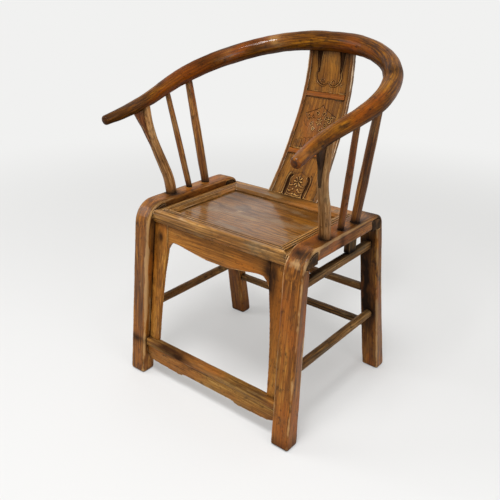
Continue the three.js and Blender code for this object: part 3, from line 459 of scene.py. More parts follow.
# Each reed runs at a distance from the edge of the opening that holds the seat panel.
opening_front, opening_half_width = -0.1772, 0.1701
reeds = np.array([0.0075, 0.0153, 0.0230])
front_rail = worked(
    "front_seat_rail", rail_wood, through("front_seat_rail", 0), side=(0, 0, 1),
    mesh_size=0.0012, dents=0.0004, rounding=1, dark_spots=rail_stains(-0.195, 0.8),
    polish_and_highlight_spots=[
        ((0.0, -0.19, 0.487), (0.30, 0.02, 0.012), 0.6),
        ((-0.12, -0.2, 0.487), (0.07, 0.03, 0.02), 0.2),
    ],
)
reeded(front_rail, 1, opening_front - reeds)
worked(
    "rear_seat_rail", rail_wood, through("rear_seat_rail", 0), side=(0, 0, 1),
    mesh_size=0.0015, dents=0.0006, rounding=2,
    dark_spots=rail_stains(0.088, 0.9) + [((0.0, 0.098, 0.488), (0.09, 0.008, 0.01), 0.7)],
)
for side_name, sign in (("left", -1), ("right", 1)):
    node = side_name + "_seat_side_member"
    member = worked(
        node, rail_wood, through(node, 1), mesh_size=0.001, dents=-0.0006, rounding=0,
        dark_spots=[((-0.178, -0.10, 0.487), (0.03, 0.08, 0.02), 0.35)],
    )
    reeded(member, 0, sign * (opening_half_width + reeds))


# Seat panel and battens
# One board floats in grooves in the frame, its grain from side to side, on two battens beneath.
# Years of sitting have polished it, and a soft greyish sheen is painted over its golden brown.

seat_wood = waxed_wood("seat_wood", dark="58340c", middle="80531c", light="a67836", warm="825010",
                       rubbed_and_highlight="aa8a62", dirt_and_shade="2a190a", haze="877358", hazy=0.4, blotched=0.4,
                       figure=0.9, streaks=0.9, rough=0.3, shine=0.16, coat=0.36, coat_rough=0.1)
worked(
    "seat_panel", seat_wood, through("seat_panel", 0), side=(0, 0, 1),
    mesh_size=0.0016, dents=0.0006, rounding=1,
    dark_spots=[((-0.13, 0.02, 0.477), (0.08, 0.06, 0.02), 0.35)],
    # These patches paint the greyish sheen of reflected light, besides raising the coat.
    polish_and_highlight_spots=[
        ((-0.05, -0.03, 0.477), (0.07, 0.09, 0.02), 0.55),
        ((0.04, -0.12, 0.477), (0.09, 0.04, 0.02), 0.4),
    ],
)
stretcher_wood = waxed_wood("stretcher_wood", dark="3e2912", middle="7b562a", light="ac834e",
                            warm="7c5022", rubbed_and_highlight="ae9064", dirt_and_shade="150d07", haze="776a50",
                            blotched=0.8, wear_and_highlight_share=0.7, rough=0.55, coat=0.05)
for side_name in ("left", "right"):
    node = side_name + "_batten"
    worked(node, stretcher_wood, through(node, 1), mesh_size=0.0018)


# Front apron and side strips
# A shaped apron hangs under the front rail between two strips that fill the corners of the legs.
# All three are thin boards, tongued to the rail and the legs. They are rubbed pale along the edge,
# and the apron's lower edge has a painted highlight as well.

apron_wood = waxed_wood("apron_wood", dark="6e4212", middle="a46826", light="c68e3e", warm="a66018",
                        rubbed_and_highlight="d0a468", dirt_and_shade="2c1808", haze="926a38", hazy=0.15, blotched=0.55,
                        veined=0.35, coat=0.1)
worked(
    "front_apron", apron_wood, through("front_apron", 0), side=(0, 0, 1),
    mesh_size=0.0011, dents=0.0005, rounding=5,
    dark_spots=[
        ((0.165, -0.215, 0.43), (0.018, 0.02, 0.04), 1.0),
        # This band and the next paint the shadow that the front rail's moulding casts on the apron.
        ((0.0, -0.215, 0.456), (0.18, 0.02, 0.006), 0.6),
        ((0.05, -0.212, 0.440), (0.14, 0.02, 0.012), 0.25),
        ((-0.168, -0.215, 0.42), (0.006, 0.02, 0.02), 0.5),
    ],
    # This pale band along the lower edge paints a highlight on the rounded arris, as well as wear.
    polish_and_highlight_spots=[((0.0, -0.215, 0.395), (0.16, 0.02, 0.014), 0.4)],
)
# The long spots beside the legs paint the shade in the corner between leg and strip; the others are
# stains.
strip_stains_and_shade = {
    "left": [
        ((-0.1922, -0.2135, 0.4145), (0.009, 0.02, 0.011), 1.0),
        ((-0.200, -0.22, 0.40), (0.02, 0.02, 0.03), 0.4),
        ((-0.228, -0.22, 0.30), (0.005, 0.03, 0.3), 0.7),
    ],
    "right": [
        ((0.176, -0.2138, 0.405), (0.018, 0.02, 0.055), 1.0),
        ((0.19, -0.22, 0.30), (0.05, 0.04, 0.16), 0.25),
        ((0.225, -0.22, 0.30), (0.010, 0.03, 0.3), 0.5),
    ],
}
for side_name in ("left", "right"):
    node = side_name + "_side_strip"
    worked(node, apron_wood, through(node, 2), side=(0, 1, 0),
           mesh_size=0.0012, dents=0.0006, rounding=5, dark_spots=strip_stains_and_shade[side_name])


# Foot rail and its board
# The rail between the front legs is where feet rest, so its top is worn flat, pale and blotched.
# A thin board with a scalloped lower edge is tongued in under it.

foot_wood = waxed_wood("foot_wood", dark="6a4018", middle="a0702e", light="c89c54", warm="98581c",
                       rubbed_and_highlight="d0ac72", dirt_and_shade="331b08", blotched=0.65, rough=0.48, coat=0.07)
worked(
    "foot_rail", foot_wood, through("foot_rail", 0), side=(0, 0, 1),
    mesh_size=0.0014, dents=-0.0016, rounding=3,
    dark_spots=[
        ((-0.14, -0.257, 0.108), (0.050, 0.02, 0.016), 1.0),
        ((-0.10, -0.262, 0.100), (0.022, 0.01, 0.014), 0.7),
        ((-0.07, -0.245, 0.112), (0.035, 0.02, 0.01), 0.5),
        ((0.098, -0.256, 0.111), (0.04, 0.015, 0.012), 0.6),
        ((0.17, -0.25, 0.108), (0.04, 0.02, 0.01), 0.6),
    ],
)
worked(
    "foot_apron", foot_wood, through("foot_apron", 0), side=(0, 0, 1),
    mesh_size=0.0014, dents=-0.0008, rounding=2,
)


# Stretchers and strut blocks
# Plain bars tie the legs, eight-sided low at the sides and squared elsewhere. A small block under
# each side rail stands on the upper bar. They were never polished, and are grey-brown with dust.

# Spots just under the side rails paint the shade they cast on the upper bars and blocks; the lower
# ones darken the bars by the legs.
shade_under_seat_and_joints = []
for x in (-0.245, 0.245):
    shade_under_seat_and_joints += [
        ((x, -0.19, 0.426), (0.03, 0.07, 0.012), 1.0),
        ((x, 0.00, 0.424), (0.03, 0.08, 0.008), 0.8),
        ((x, 0.012, 0.45), (0.03, 0.03, 0.03), 0.5),
        ((x, 0.12, 0.41), (0.03, 0.02, 0.03), 0.9),
        ((x, -0.225, 0.193), (0.03, 0.02, 0.03), 0.7),
        ((x, 0.15, 0.193), (0.03, 0.02, 0.03), 0.8),
        ((x, 0.15, 0.263), (0.02, 0.03, 0.03), 0.8),
    ]
for name, axis in (
    ("left_upper_side_stretcher", 1), ("right_upper_side_stretcher", 1),
    ("left_lower_side_stretcher", 1), ("right_lower_side_stretcher", 1),
    ("upper_rear_stretcher", 0), ("lower_rear_stretcher", 0),
    ("left_strut_block", 2), ("right_strut_block", 2),
):
    side = ((0, 0, 1), (1, 0, 0), (0, 1, 0))[axis]
    worked(name, stretcher_wood, through(name, axis), side=side,
           mesh_size=0.0016, dents=0.001, dark_spots=shade_under_seat_and_joints)


# Front posts and spindles
# Two bent posts and four thin spindles are shaved from the round and socketed into the side
# rails. The posts are pale and worn, the spindles dark and red, and all are black at the foot.

def shaved_pole():
    """Nodes that draw a pole along a line of points, each of them with its own radius."""
    group = bpy.data.node_groups.new("shaved_pole", "GeometryNodeTree")
    group.interface.new_socket("Line", in_out="INPUT", socket_type="NodeSocketGeometry")
    for label, kind, value in (
        ("Rings Per Span", "NodeSocketInt", 16),
        ("Sides", "NodeSocketInt", 32),
        ("Dents", "NodeSocketFloat", 0.001),
        ("Flats", "NodeSocketFloat", 0.0006),
        ("Place In Wood", "NodeSocketVector", (0.0, 0.0, 0.0)),
        ("Wood", "NodeSocketMaterial", None),
    ):
        socket = group.interface.new_socket(label, in_out="INPUT", socket_type=kind)
        if value is not None:
            socket.default_value = value
    group.interface.new_socket("Pole", in_out="OUTPUT", socket_type="NodeSocketGeometry")
    nodes = Nodes(group)
    add = nodes.add

    def given(label):
        return add("NodeGroupInput", output=label)

    def named(attribute, kind):
        settings = {"data_type": kind}
        return add("GeometryNodeInputNamedAttribute", settings, {"Name": attribute}, "Attribute")

    def kept(geometry, attribute, kind, value):
        values = {"Geometry": geometry, "Name": attribute, "Value": value}
        settings = {"data_type": kind, "domain": "POINT"}
        return add("GeometryNodeStoreNamedAttribute", settings, values)

    line = add("GeometryNodeMeshToCurve", values={0: given("Line")})
    line = add("GeometryNodeCurveSplineType", {"spline_type": "CATMULL_ROM"}, {"Curve": line})
    rings = {0: line, "Resolution": given("Rings Per Span")}
    line = add("GeometryNodeSetSplineResolution", values=rings)
    line = add("GeometryNodeResampleCurve", {"mode": "EVALUATED"}, {0: line})
    length = add("GeometryNodeSplineParameter", output="Length")
    line = kept(line, "gone", "FLOAT", length)
    profile = add("GeometryNodeCurvePrimitiveCircle",
                  values={"Resolution": given("Sides"), "Radius": 1.0})
    profile = kept(profile, "across", "FLOAT_VECTOR", add("GeometryNodeInputPosition"))
    radius = named("half_thickness", "FLOAT")
    pole = add("GeometryNodeCurveToMesh", values={
        "Curve": line, "Profile Curve": profile, "Scale": radius, "Fill Caps": True,
    })

    across = named("across", "FLOAT_VECTOR")
    wide = add("ShaderNodeVectorMath", {"operation": "SCALE"}, {0: across, "Scale": radius})
    down = add("ShaderNodeCombineXYZ", values={2: named("gone", "FLOAT")})
    place = add("ShaderNodeVectorMath", {"operation": "ADD"}, {0: wide, 1: down})
    place = add("ShaderNodeVectorMath", {"operation": "ADD"}, {0: place, 1: given("Place In Wood")})
    pole = kept(pole, "grain", "FLOAT_VECTOR", place)
    lumps = add("ShaderNodeTexNoise", values={"Vector": place, "Scale": 26.0, "Detail": 1.0})
    long_cuts = add("ShaderNodeVectorMath", {"operation": "MULTIPLY"}, {0: place, 1: (95, 95, 9)})
    flats = add("ShaderNodeTexNoise", values={"Vector": long_cuts, "Scale": 1.0, "Detail": 0.0})
    inward = 0.0 - (lumps * given("Dents") + flats * given("Flats"))
    normal = add("GeometryNodeInputNormal")
    offset = add("ShaderNodeVectorMath", {"operation": "SCALE"}, {0: normal, "Scale": inward})
    pole = add("GeometryNodeSetPosition", values={"Geometry": pole, "Offset": offset})
    pole = add("GeometryNodeRealizeInstances", values={0: pole})
    pole = add("GeometryNodeSetMaterial", values={0: pole, "Material": given("Wood")})
    add("NodeGroupOutput", values={"Pole": pole})
    return group


pole_maker = shaved_pole()
# A pole is drawn this much thicker all round, because its dents and flats are cut inwards.
shaved_off = 0.0008


def shaved(node, material, stations, cuts, dark_spots=(), polish_and_highlight_spots=()):
    """A pole through stations of x, y, z and radius, given in millimetres."""
    blank = next(blanks)
    line = bpy.data.meshes.new("shaved_" + node)
    places = np.array(stations) / 1000
    line.from_pydata(places[:, :3].tolist(), [(i, i + 1) for i in range(len(places) - 1)], [])
    store(line, "half_thickness", places[:, 3] + shaved_off)
    piece = bpy.data.objects.new("shaved_" + node, line)
    bpy.context.scene.collection.objects.link(piece)
    pole = piece.modifiers.new("shaved pole", "NODES")
    pole.node_group = pole_maker
    given = {**cuts, "Place In Wood": (0.021, 0.013, 0.9 * blank), "Wood": material}
    for item in pole_maker.interface.items_tree:
        if item.in_out == "INPUT" and item.name in given:
            pole[item.identifier] = given[item.name]
    mesh = made_plain(piece)
    shape = bmesh.new()
    shape.from_mesh(mesh)
    bmesh.ops.recalc_face_normals(shape, faces=shape.faces)
    shape.to_mesh(mesh)
    shape.free()
    # The underside is painted darker, as shade, the more it faces down.
    underside_shade = np.clip(-0.6 * read(mesh.vertex_normals, "vector", 3)[:, 2], 0, 1)
    mark_spots(mesh, "stain_and_shade", dark_spots, underside_shade)
    mark_spots(mesh, "polish_and_highlight", polish_and_highlight_spots)
    stand_for(piece, node, material)


def mirrored(stations, sign):
    return [(sign * x, y, z, r) for x, y, z, r in stations]


upright_wood = waxed_wood("upright_wood", dark="42240e", middle="7a4a20", light="a8763a",
                          warm="7e4012", rubbed_and_highlight="b08c64", dirt_and_shade="1b1009", rough=0.36)
post_wood = waxed_wood("post_wood", dark="62401e", middle="9e7040", light="caa06c", warm="9c6432",
                       rubbed_and_highlight="cca986", dirt_and_shade="20130a", veined=0.25, spotted=2.0, rough=0.42,
                       coat=0.14)
post_line = [
    (248.5, -113.5, 484.5, 15.0), (248.8, -115.2, 500.3, 15.0), (250.1, -121.2, 540.2, 15.0),
    (254.5, -133.2, 580.2, 14.5), (257.8, -148.2, 620.1, 13.8), (263.6, -160.2, 660.0, 13.2),
    (270.8, -164.2, 699.9, 12.9), (276.0, -165.1, 745.0, 12.6),
]
middle_line = [
    (247.0, -44.5, 485.0, 7.9), (248.8, -46.1, 500.3, 8.0), (261.1, -55.4, 582.3, 8.5),
    (275.5, -66.3, 677.9, 7.8), (289.3, -76.7, 769.0, 7.0),
]
rear_line = [
    (246.5, 20.3, 485.0, 11.4), (248.8, 19.7, 500.3, 11.5), (262.3, 16.1, 589.6, 12.2),
    (278.1, 11.9, 693.7, 11.3), (293.0, 7.9, 792.0, 10.0),
]
for side_name, sign in (("left", -1), ("right", 1)):
    feet = [((sign * 0.249, y, 0.497), (0.03, 0.03, 0.018), 0.9) for y in (-0.115, -0.046, 0.020)]
    for name, wood, line, cuts in (
        ("_front_post", post_wood, post_line, {"Dents": 0.0016, "Flats": 0.0012}),
        ("_middle_spindle", upright_wood, middle_line,
         {"Dents": 0.001, "Flats": 0.0006, "Sides": 24}),
        ("_rear_spindle", upright_wood, rear_line,
         {"Dents": 0.0012, "Flats": 0.0008, "Sides": 28}),
    ):
        shaved(side_name + name, wood, mirrored(line, sign), cuts, feet)


# Splat
# Two bowed stiles hold three thin carved panels between two beads. The top panel has a cloud collar
# under two cut drops, the middle one a medallion over petals, and the lowest one a flower.

splat_wood = waxed_wood("splat_wood", dark="5c350c", middle="85541a", light="a26e28", warm="8a4c12",
                        rubbed_and_highlight="be9050", dirt_and_shade="2c1808", haze="7c643c", hazy=0.25, blotched=0.45,
                        streaks=0.8, spotted=1.8, grime_and_shade=1.5, rough=0.42, coat=0.1)
stile_wood = waxed_wood("stile_wood", dark="4c2e10", middle="784c1e", light="9c723c", warm="784416",
                        rubbed_and_highlight="c8ad8c", dirt_and_shade="24160a", figure=0.2, wear_and_highlight_share=1.15, rough=0.42,
                        coat=0.1)
bead_wood = waxed_wood("bead_wood", dark="683609", middle="8a4b10", light="a4641f", warm="8e430c",
                       rubbed_and_highlight="bd8444", dirt_and_shade="341a06", figure=0.2, veined=0.3, rough=0.34,
                       coat=0.14)

# The splat's front face is a smooth bow through these heights and setbacks. Its width is that of
# both stiles and what they hold, and a panel ends short of their outer edges.
splat_rise = np.array([0.4863, 0.5153, 0.5475, 0.5784, 0.6115, 0.6449, 0.6781, 0.7111, 0.7459,
                       0.7817, 0.8130, 0.8437, 0.8700])
splat_face = np.array([0.1018, 0.1238, 0.1465, 0.1657, 0.1845, 0.2027, 0.2199, 0.2347, 0.2469,
                       0.2559, 0.2609, 0.2640, 0.2658])
splat_middle = 0.68
splat_bow = np.poly1d(np.polyfit(splat_rise - splat_middle, splat_face, 5))
foot_half_width, top_half_width = 0.083, 0.071
stile_cover = 0.0085


def splat_half_width(z):
    return np.interp(z, [splat_rise[0], splat_rise[-1]], [foot_half_width, top_half_width])


splat_path = [(0.0, float(splat_bow(z - splat_middle)), float(z)) for z in splat_rise]
for side_name, sign in (("left", -1), ("right", 1)):
    # The outer edges are painted paler, the left one more, for wear and for the light they catch.
    outer_rub_and_light = [
        ((sign * splat_half_width(z), y, z), (0.004, 0.02, 0.03), 0.6 if sign < 0 else 0.3)
        for _, y, z in splat_path
    ]
    worked(side_name + "_splat_stile", stile_wood, splat_path, mesh_size=0.0012,
           dents=0.0004, rounding=2, polish_and_highlight_spots=outer_rub_and_light)
for name in ("splat_lower_bead", "splat_upper_bead"):
    worked(name, bead_wood, through(name, 0), side=(0, 0, 1), mesh_size=0.0009,
           dents=0.0003, rounding=2)


def drawn(points, steps=10):
    """A smooth line through points given in millimetres, x and z."""
    points = np.array(points, float)
    before, after = 2 * points[:1] - points[1:2], 2 * points[-1:] - points[-2:-1]
    points = np.concatenate([before, points, after])
    t = np.linspace(0, 1, steps, endpoint=False)[:, None]
    spans = []
    for a, b, c, d in zip(points[:-3], points[1:-2], points[2:-1], points[3:]):
        spans.append(0.5 * (2 * b + (c - a) * t + (2 * a - 5 * b + 4 * c - d) * t ** 2
                            + (3 * b - a - 3 * c + d) * t ** 3))
    return np.concatenate(spans + [points[-2:-1]])


def curl(x, z, start, turns, size, lean=1):
    """A scroll line that winds in to x, z from an angle in degrees."""
    angle = math.radians(start) + lean * np.linspace(0, turns * math.tau, int(26 * turns) + 2)
    reach = np.linspace(size, size * 0.18, len(angle))
    return np.stack([x + reach * np.cos(angle), z + reach * np.sin(angle)], 1)


class Carving:
    """The carved face of one panel. Heights and places are in millimetres."""

    def __init__(self, low, high, spacing=0.8):
        half = (splat_half_width(low) - stile_cover) * 1000
        self.x, self.z = np.meshgrid(
            np.linspace(-half, half, int(2 * half / spacing)),
            np.linspace(low * 1000, high * 1000, int((high - low) * 1000 / spacing)),
        )
        self.height = np.zeros_like(self.x)

    def away(self, line, taper=None):
        """Distance from a line, less its half width there, for every place on the face."""
        nearest = np.full_like(self.x, np.inf)
        widths = np.linspace(*(taper or (0, 0)), len(line))
        for start, end, width in zip(line[:-1], line[1:], widths):
            step = end - start
            square = max(step @ step, 1e-9)
            across, up = self.x - start[0], self.z - start[1]
            share = np.clip((across * step[0] + up * step[1]) / square, 0, 1)
            gap = np.hypot(across - share * step[0], up - share * step[1])
            nearest = np.minimum(nearest, gap - width)
        return nearest

    def groove(self, line, width=1.2, depth=1.0):
        self.height -= depth * np.clip(1 - self.away(line) / width, 0, 1)

    def ridge(self, line, width=1.3, rise=0.9):
        share = np.clip(self.away(line) / width, 0, 1)
        self.height = np.maximum(self.height, self.height + rise * np.sqrt(1 - share ** 2))

    def scoop(self, line, taper, depth, slope=1.6):
        """A hollow whose half width runs from one end of a line to the other."""
        inside = np.clip(-self.away(line, taper) / slope, 0, 1)
        self.height -= depth * inside * inside * (3 - 2 * inside)

    def swell(self, line, taper, rise):
        """A rounded leaf or petal, with a cut round it."""
        gap = self.away(line, taper)
        widest = max(taper)
        inside = np.clip(-gap / widest, 0, 1)
        self.height += rise * np.sqrt(1 - (1 - inside) ** 2) * (gap < 0)
        self.height -= 0.6 * np.clip(1 - np.abs(gap) / 0.9, 0, 1)

    def both(self, shape, line, *values):
        """The same cut on the left and on the right."""
        line = np.array(line, float)
        shape(line, *values)
        shape(line * (-1, 1), *values)


def carved_panel(node, carving, dark_spots=(), polish_and_highlight_spots=()):
    """The panel's board, with the carving on its face and a plain back."""
    face_inset, thickness = 0.0025, 0.007
    x, z = carving.x / 1000, carving.z / 1000
    rows, columns = x.shape
    x = x * splat_half_width(z) / splat_half_width(z[0, 0])
    y = splat_bow(z - splat_middle) + face_inset
    slope = splat_bow.deriv()(z - splat_middle)
    steep = np.sqrt(1 + slope ** 2)
    rise = carving.height / 1000
    front = np.stack([x, y - rise / steep, z + rise * slope / steep], -1).reshape(-1, 3)
    back = np.stack([x, y + thickness, z], -1).reshape(-1, 3)
    index = np.arange(rows * columns).reshape(rows, columns)
    corners = [index[:-1, :-1], index[:-1, 1:], index[1:, 1:], index[1:, :-1]]
    squares = np.stack(corners, -1).reshape(-1, 4)
    rim = np.concatenate([index[0, :-1], index[:-1, -1], index[-1, :0:-1], index[:0:-1, 0]])
    after = np.roll(rim, -1)
    behind = rows * columns
    edges = np.stack([rim, rim + behind, after + behind, after], 1)
    faces = np.concatenate([squares, squares[:, ::-1] + behind, edges])
    mesh = bpy.data.meshes.new("carved_" + node)
    mesh.from_pydata(np.concatenate([front, back]).tolist(), [], faces.tolist())
    mesh.polygons.foreach_set("use_smooth", np.ones(len(mesh.polygons), bool))
    mesh.update()
    piece = bpy.data.objects.new("carved_" + node, mesh)
    bpy.context.scene.collection.objects.link(piece)
    mark_wear(mesh, 0.0004)
    lay_grain(mesh, splat_path, (1, 0, 0))
    # The panel is darker along both sides, next to the stiles.
    border = np.exp(-((splat_half_width(z) - 0.012 - np.abs(x)) / 0.009) ** 2).ravel() * 0.6
    mark_spots(mesh, "stain_and_shade", dark_spots, np.concatenate([border, border]))
    mark_spots(mesh, "polish_and_highlight", polish_and_highlight_spots)
    stand_for(piece, node, splat_wood)


def panel_carving(node):
    low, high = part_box(node)
    return Carving(low[2], high[2])


cloud = panel_carving("splat_upper_panel")
cloud.both(cloud.scoop, drawn([(37, 866), (37.5, 835), (35.5, 803)]), (11.0, 2.4), 3.4)
cloud.both(cloud.ridge, drawn([(39, 866), (40, 842), (37, 814)]), 2.0, 2.2)
collar = drawn([(39, 803), (41, 791), (37, 779), (28, 770.5), (18, 767), (8, 769), (1.5, 776)])
cloud.both(cloud.groove, collar * (0.94, 1) + (0, 2.2), 1.5, 0.8)
cloud.both(cloud.ridge, collar, 1.5, 1.4)
cloud.both(cloud.ridge, curl(19, 777.5, 200, 1.15, 9, -1), 1.3, 1.0)
cloud.both(cloud.groove, curl(19, 777.5, 215, 1.15, 6.4, -1), 1.1, 0.5)
cloud.both(cloud.ridge, curl(45, 772, 90, 0.9, 5.0), 1.0, 0.6)
cloud.both(cloud.groove, drawn([(30, 800), (27, 815), (18, 826), (6, 831), (0, 840)]), 1.0, 0.2)
# These spots paint the shade in the two deep scooped drops.
carved_panel("splat_upper_panel", cloud, dark_spots=[
    ((sign * 0.037, 0.26, 0.838), (0.011, 0.03, 0.04), 1.0) for sign in (-1, 1)
])

medallion = panel_carving("splat_middle_panel")
outline_above = drawn([(0, 717), (9, 709), (22, 703), (36, 697), (50, 692)])
outline_beside = drawn([(50, 692), (47, 684), (49, 674), (43, 664), (30, 657)])
medallion.both(medallion.groove, outline_above, 1.4, 1.1)
medallion.both(medallion.groove, outline_beside, 1.2, 0.7)
for angle in range(0, 360, 60):
    turn = math.radians(angle + 20)
    away = np.array([math.cos(turn), math.sin(turn)])
    middle = np.array([1.0, 675.0])
    medallion.swell(np.array([middle + 4.5 * away, middle + 9 * away]), (2.4, 4.0), 1.3)
medallion.swell(np.array([(0.8, 675.0), (1.2, 675.2)]), (3.0, 3.0), 1.6)
for x, z, start, size, lean in (
    (22, 687, 200, 7.5, 1), (33, 678, 140, 6.5, -1), (24, 667, 90, 6.5, 1), (12, 695, 230, 6, -1),
    (38, 688, 250, 4.5, 1), (12, 655, 60, 5.5, -1),
):
    medallion.both(medallion.ridge, curl(x, z, start, 1.3, size, lean), 1.3, 1.0)
    medallion.both(medallion.groove, curl(x, z, start + 20, 1.3, size * 0.72, lean), 1.1, 0.8)
    medallion.both(medallion.scoop, [(x - 0.2, z), (x + 0.2, z)], (1.8, 1.8), 1.8, 1.2)
for x in range(-54, 55, 12):
    tip = 634 - 0.004 * x * x
    medallion.swell(np.array([(x, 606.0), (x, tip - 6)]), (5.2, 3.4), 0.6)
    medallion.groove(np.array([(x, 608.0), (x, tip - 9)]), 0.9, 0.3)
carved_panel("splat_middle_panel", medallion, polish_and_highlight_spots=[
    ((-0.012, 0.21, 0.662), (0.02, 0.03, 0.012), 0.5),
])

flower = panel_carving("splat_lower_panel")
arch = drawn([(37, 488), (38, 508), (39, 528), (33, 540), (20, 544), (9, 548), (0, 556)])
flower.both(flower.scoop, drawn([(31, 492), (32, 512), (33, 528), (27, 535)]), (5.5, 4.0), 3.0)
flower.both(flower.scoop, drawn([(24, 537), (12, 541), (0, 546)]), (3.0, 2.0), 0.6)
flower.both(flower.ridge, arch[:30], 2.4, 1.8)
flower.both(flower.ridge, arch[28:], 1.6, 0.5)
for count, turned, reach, size, rise in ((8, 0.0, 12.5, 4.6, 1.7), (6, 0.3, 6.0, 3.2, 2.2)):
    for step in range(count):
        turn = math.tau * (step + turned) / count
        away = np.array([math.cos(turn), math.sin(turn)])
        middle = np.array([0.0, 522.0])
        petal = np.array([middle + (reach - 4) * away, middle + reach * away])
        flower.swell(petal, (size * 0.6, size), rise)
flower.swell(np.array([(-0.2, 522.0), (0.2, 522.0)]), (2.6, 2.6), 2.6)
flower.both(flower.swell, drawn([(8, 503), (17, 498), (27, 501)]), (3.4, 1.0), 1.5)
flower.both(flower.swell, drawn([(14, 512), (22, 511), (28, 517)]), (2.8, 1.0), 1.3)
flower.both(flower.swell, drawn([(3, 492), (12, 490.5), (22, 492)]), (2.6, 1.0), 1.2)
# These spots paint the shade in the deep hollows at either side of the flower.
carved_panel("splat_lower_panel", flower, dark_spots=[
    ((sign * 0.033, 0.13, 0.515), (0.008, 0.03, 0.026), 0.9) for sign in (-1, 1)
])


# Crest rail
# One thick pole sweeps down from the back into both arms, thins towards its blunt, rounded tips,
# and is socketed over the splat, posts and spindles. Hands have polished it to a deep gloss.

crest_wood = waxed_wood("crest_wood", dark="391e06", middle="6e4007", light="945f10", warm="843f05",
                        rubbed_and_highlight="a88044", dirt_and_shade="1a0e05", haze="64441c", hazy=0.15, blotched=0.75,
                        figure=0.4, spotted=2.2, wear_and_highlight_share=0.5, rough=0.38, shine=0.04, coat=0.1,
                        coat_rough=0.08)
half_crest = [
    (281.4, -288.2, 720.0, 12.8), (276.4, -252.4, 728.0, 14.8), (274.6, -206.5, 739.2, 16.3),
    (277.0, -156.6, 752.1, 17.6), (284.1, -108.5, 765.0, 19.2), (292.3, -60.9, 778.0, 20.8),
    (295.0, -8.2, 793.2, 22.7), (285.9, 54.5, 811.8, 23.5), (259.0, 126.2, 833.8, 24.3),
    (209.7, 191.7, 855.6, 25.1), (142.2, 238.7, 872.6, 25.6), (70.8, 264.5, 881.2, 26.5),
]
crest_back = (0.0, 271.8, 883.0, 26.8)


def rounded_tip(stations):
    """The stations, with closer ones at the start, where the pole ends in a blunt round nose."""
    first, second = np.array(stations[0]), np.array(stations[1])
    length = np.linalg.norm((second - first)[:3])
    inward = (second - first) / length
    nose = [(-7.8, 0.30), (-6.9, 0.60), (-5.0, 0.83), (-2.2, 0.96)]
    tip = [(*(first + inward * reach)[:3], first[3] * share) for reach, share in nose]
    closer = [tuple(first + inward * reach) for reach in (0, 3, 8, 17)]
    return tip + closer + stations[1:]


arm = rounded_tip(half_crest)
crest_line = mirrored(arm, -1) + [crest_back] + arm[::-1]
shaved("crest_rail", crest_wood, crest_line,
       {"Dents": 0.0022, "Flats": 0.0012, "Sides": 48, "Rings Per Span": 20},
       dark_spots=[
           ((0.285, -0.297, 0.718), (0.005, 0.004, 0.005), 1.0),
           ((0.280, -0.16, 0.735), (0.03, 0.05, 0.014), 0.6),
           ((0.270, -0.20, 0.752), (0.018, 0.012, 0.012), 0.2),
           ((0.2845, -0.2965, 0.7165), (0.006, 0.004, 0.005), 1.0),
           ((-0.275, 0.03, 0.835), (0.04, 0.09, 0.03), 0.6),
           ((-0.196, 0.174, 0.868), (0.02, 0.03, 0.02), 0.4),
           ((0.268, 0.11, 0.85), (0.03, 0.06, 0.012), 0.5),
           ((0.295, -0.02, 0.790), (0.03, 0.03, 0.02), 0.4),
           ((0.24, 0.15, 0.83), (0.05, 0.05, 0.02), 0.4),
       ],
       polish_and_highlight_spots=[
           ((0.2867, -0.27, 0.735), (0.02, 0.02, 0.01), 0.6),
           ((0.289, -0.2955, 0.725), (0.012, 0.005, 0.012), 0.7),
           ((0.265, -0.157, 0.766), (0.008, 0.05, 0.010), 0.5),
           ((0.281, -0.075, 0.790), (0.008, 0.05, 0.012), 0.5),
           ((-0.265, -0.22, 0.752), (0.02, 0.04, 0.01), 0.6),
           # These two spots paint the highlights on the back of the rail, besides raising the coat.
           ((-0.240, 0.122, 0.850), (0.030, 0.030, 0.030), 0.7),
           ((-0.150, 0.205, 0.878), (0.045, 0.030, 0.030), 1.0),
       ])


# Wing brackets
# A small shaped board fills the corner between each front post and the arm. It is tongued into
# the post and fitted under the arm, and the right one is painted nearly black for the shade in that
# corner.

shaded_wing_wood = waxed_wood("shaded_wing_wood", dark="2e1d10", middle="5a3c20", light="825e38", warm="5a371a",
                       rubbed_and_highlight="8c6c48", dirt_and_shade="0f0b07", figure=0.2, rough=0.5, coat=0.07)
wing_shade = [
    ((0.267, -0.165, 0.68), (0.03, 0.014, 0.06), 1.0),
    ((0.267, -0.195, 0.70), (0.03, 0.020, 0.03), 0.8),
]
for node, wood in (("left_wing_bracket", upright_wood), ("right_wing_bracket", shaded_wing_wood)):
    worked(node, wood, through(node, 2), side=(0, 1, 0), mesh_size=0.0012,
           dents=0.0006, dark_spots=wing_shade)


# Floor, lamps and camera
# A pale floor runs out into a pale backdrop under soft lamps, and the camera stands at the
# photograph's place. None of it is part of the chair.

backdrop_colour = linear("f1f1f0")
# The floor's own colour gives way to the backdrop's between these distances from the chair. Close
# by it keeps a share of the backdrop's, so that the shadow stays light.
floor_fade = (1.0, 3.0)
backdrop_share = 0.3


def looked_at(add):
    """1 for what the camera sees, straight, in a gloss or through glass, and 0 for stray light."""
    rays = ("Is Camera Ray", "Is Glossy Ray", "Is Transmission Ray")
    straight, in_gloss, through_glass = (add("ShaderNodeLightPath", output=ray) for ray in rays)
    return (straight + in_gloss + through_glass).clamped()


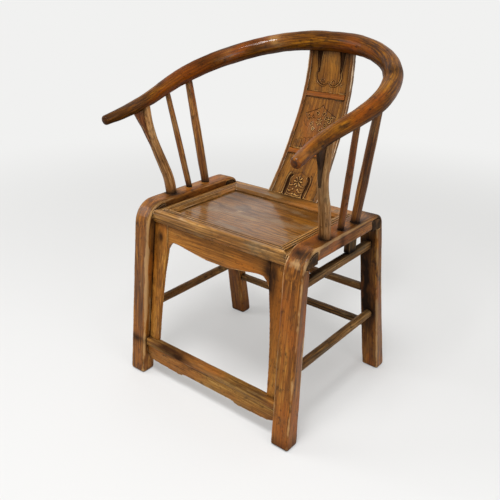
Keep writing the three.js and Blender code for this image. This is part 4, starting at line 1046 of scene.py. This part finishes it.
def lay_floor():
    bpy.ops.mesh.primitive_plane_add(size=60.0)
    floor = bpy.context.object
    floor.name = "floor"
    material = bpy.data.materials.new("pale_floor")
    material.use_nodes = True
    nodes = Nodes(material.node_tree)
    add = nodes.add
    place = add("ShaderNodeTexCoord", output="Object")
    away = add("ShaderNodeVectorMath", {"operation": "LENGTH"}, {0: place}, "Value")
    seen = looked_at(add)
    shown = nodes.mix(linear("c9c7c4"), linear("dfdfdf"), seen)
    near = add("ShaderNodeBsdfDiffuse", values={"Color": shown})
    far = add("ShaderNodeEmission", values={"Color": backdrop_colour})
    share = (away.between(*floor_fade) * (1 - backdrop_share) + backdrop_share) * seen
    surface = add("ShaderNodeMixShader", values={"Fac": share, 1: near, 2: far})
    add("ShaderNodeOutputMaterial", values={"Surface": surface})
    floor.data.materials.append(material)


def light_room():
    world = bpy.data.worlds.new("studio")
    world.use_nodes = True
    bpy.context.scene.world = world
    nodes = Nodes(world.node_tree)
    add = nodes.add
    room = add("ShaderNodeBackground", values={"Color": linear("f6f5f2"), "Strength": 0.6})
    backdrop = add("ShaderNodeBackground", values={"Color": backdrop_colour})
    seen = looked_at(add)
    surface = add("ShaderNodeMixShader", values={"Fac": seen, 1: room, 2: backdrop})
    add("ShaderNodeOutputWorld", values={"Surface": surface})
    for name, place, size, watts in (
        ("soft_box_above", (0.35, -1.0, 2.7), 0.8, 48),
        ("soft_box_left", (-3.0, -1.7, 2.0), 1.8, 38),
        ("soft_box_right", (2.8, -0.6, 1.5), 1.6, 20),
    ):
        light = bpy.data.lights.new(name, "AREA")
        light.size = size
        light.energy = watts
        lamp = bpy.data.objects.new(name, light)
        aim = Vector((0, 0, 0.5)) - Vector(place)
        turn = aim.to_track_quat("-Z", "Y").to_matrix().to_4x4()
        lamp.matrix_world = Matrix.Translation(place) @ turn
        bpy.context.scene.collection.objects.link(lamp)


def stand_camera():
    place = (0.9229, -1.21171, 1.04172)
    azimuth, elevation, roll = map(math.radians, (38.055, 24.717, 0.799))
    back = Vector((
        math.sin(azimuth) * math.cos(elevation),
        -math.cos(azimuth) * math.cos(elevation),
        math.sin(elevation),
    ))
    right = Vector((0, 0, 1)).cross(back).normalized()
    up = back.cross(right)
    axes = Matrix((
        math.cos(roll) * right + math.sin(roll) * up,
        math.cos(roll) * up - math.sin(roll) * right,
        back,
    )).transposed()
    lens = bpy.data.cameras.new("camera")
    lens.sensor_width = 36
    lens.lens = 43.85
    lens.shift_x = -0.0215
    lens.shift_y = 0.0120
    camera = bpy.data.objects.new("camera", lens)
    camera.matrix_world = Matrix.Translation(place) @ axes.to_4x4()
    bpy.context.scene.collection.objects.link(camera)
    bpy.context.scene.camera = camera
    bpy.context.scene.view_settings.view_transform = "Standard"


lay_floor()
light_room()
stand_camera()
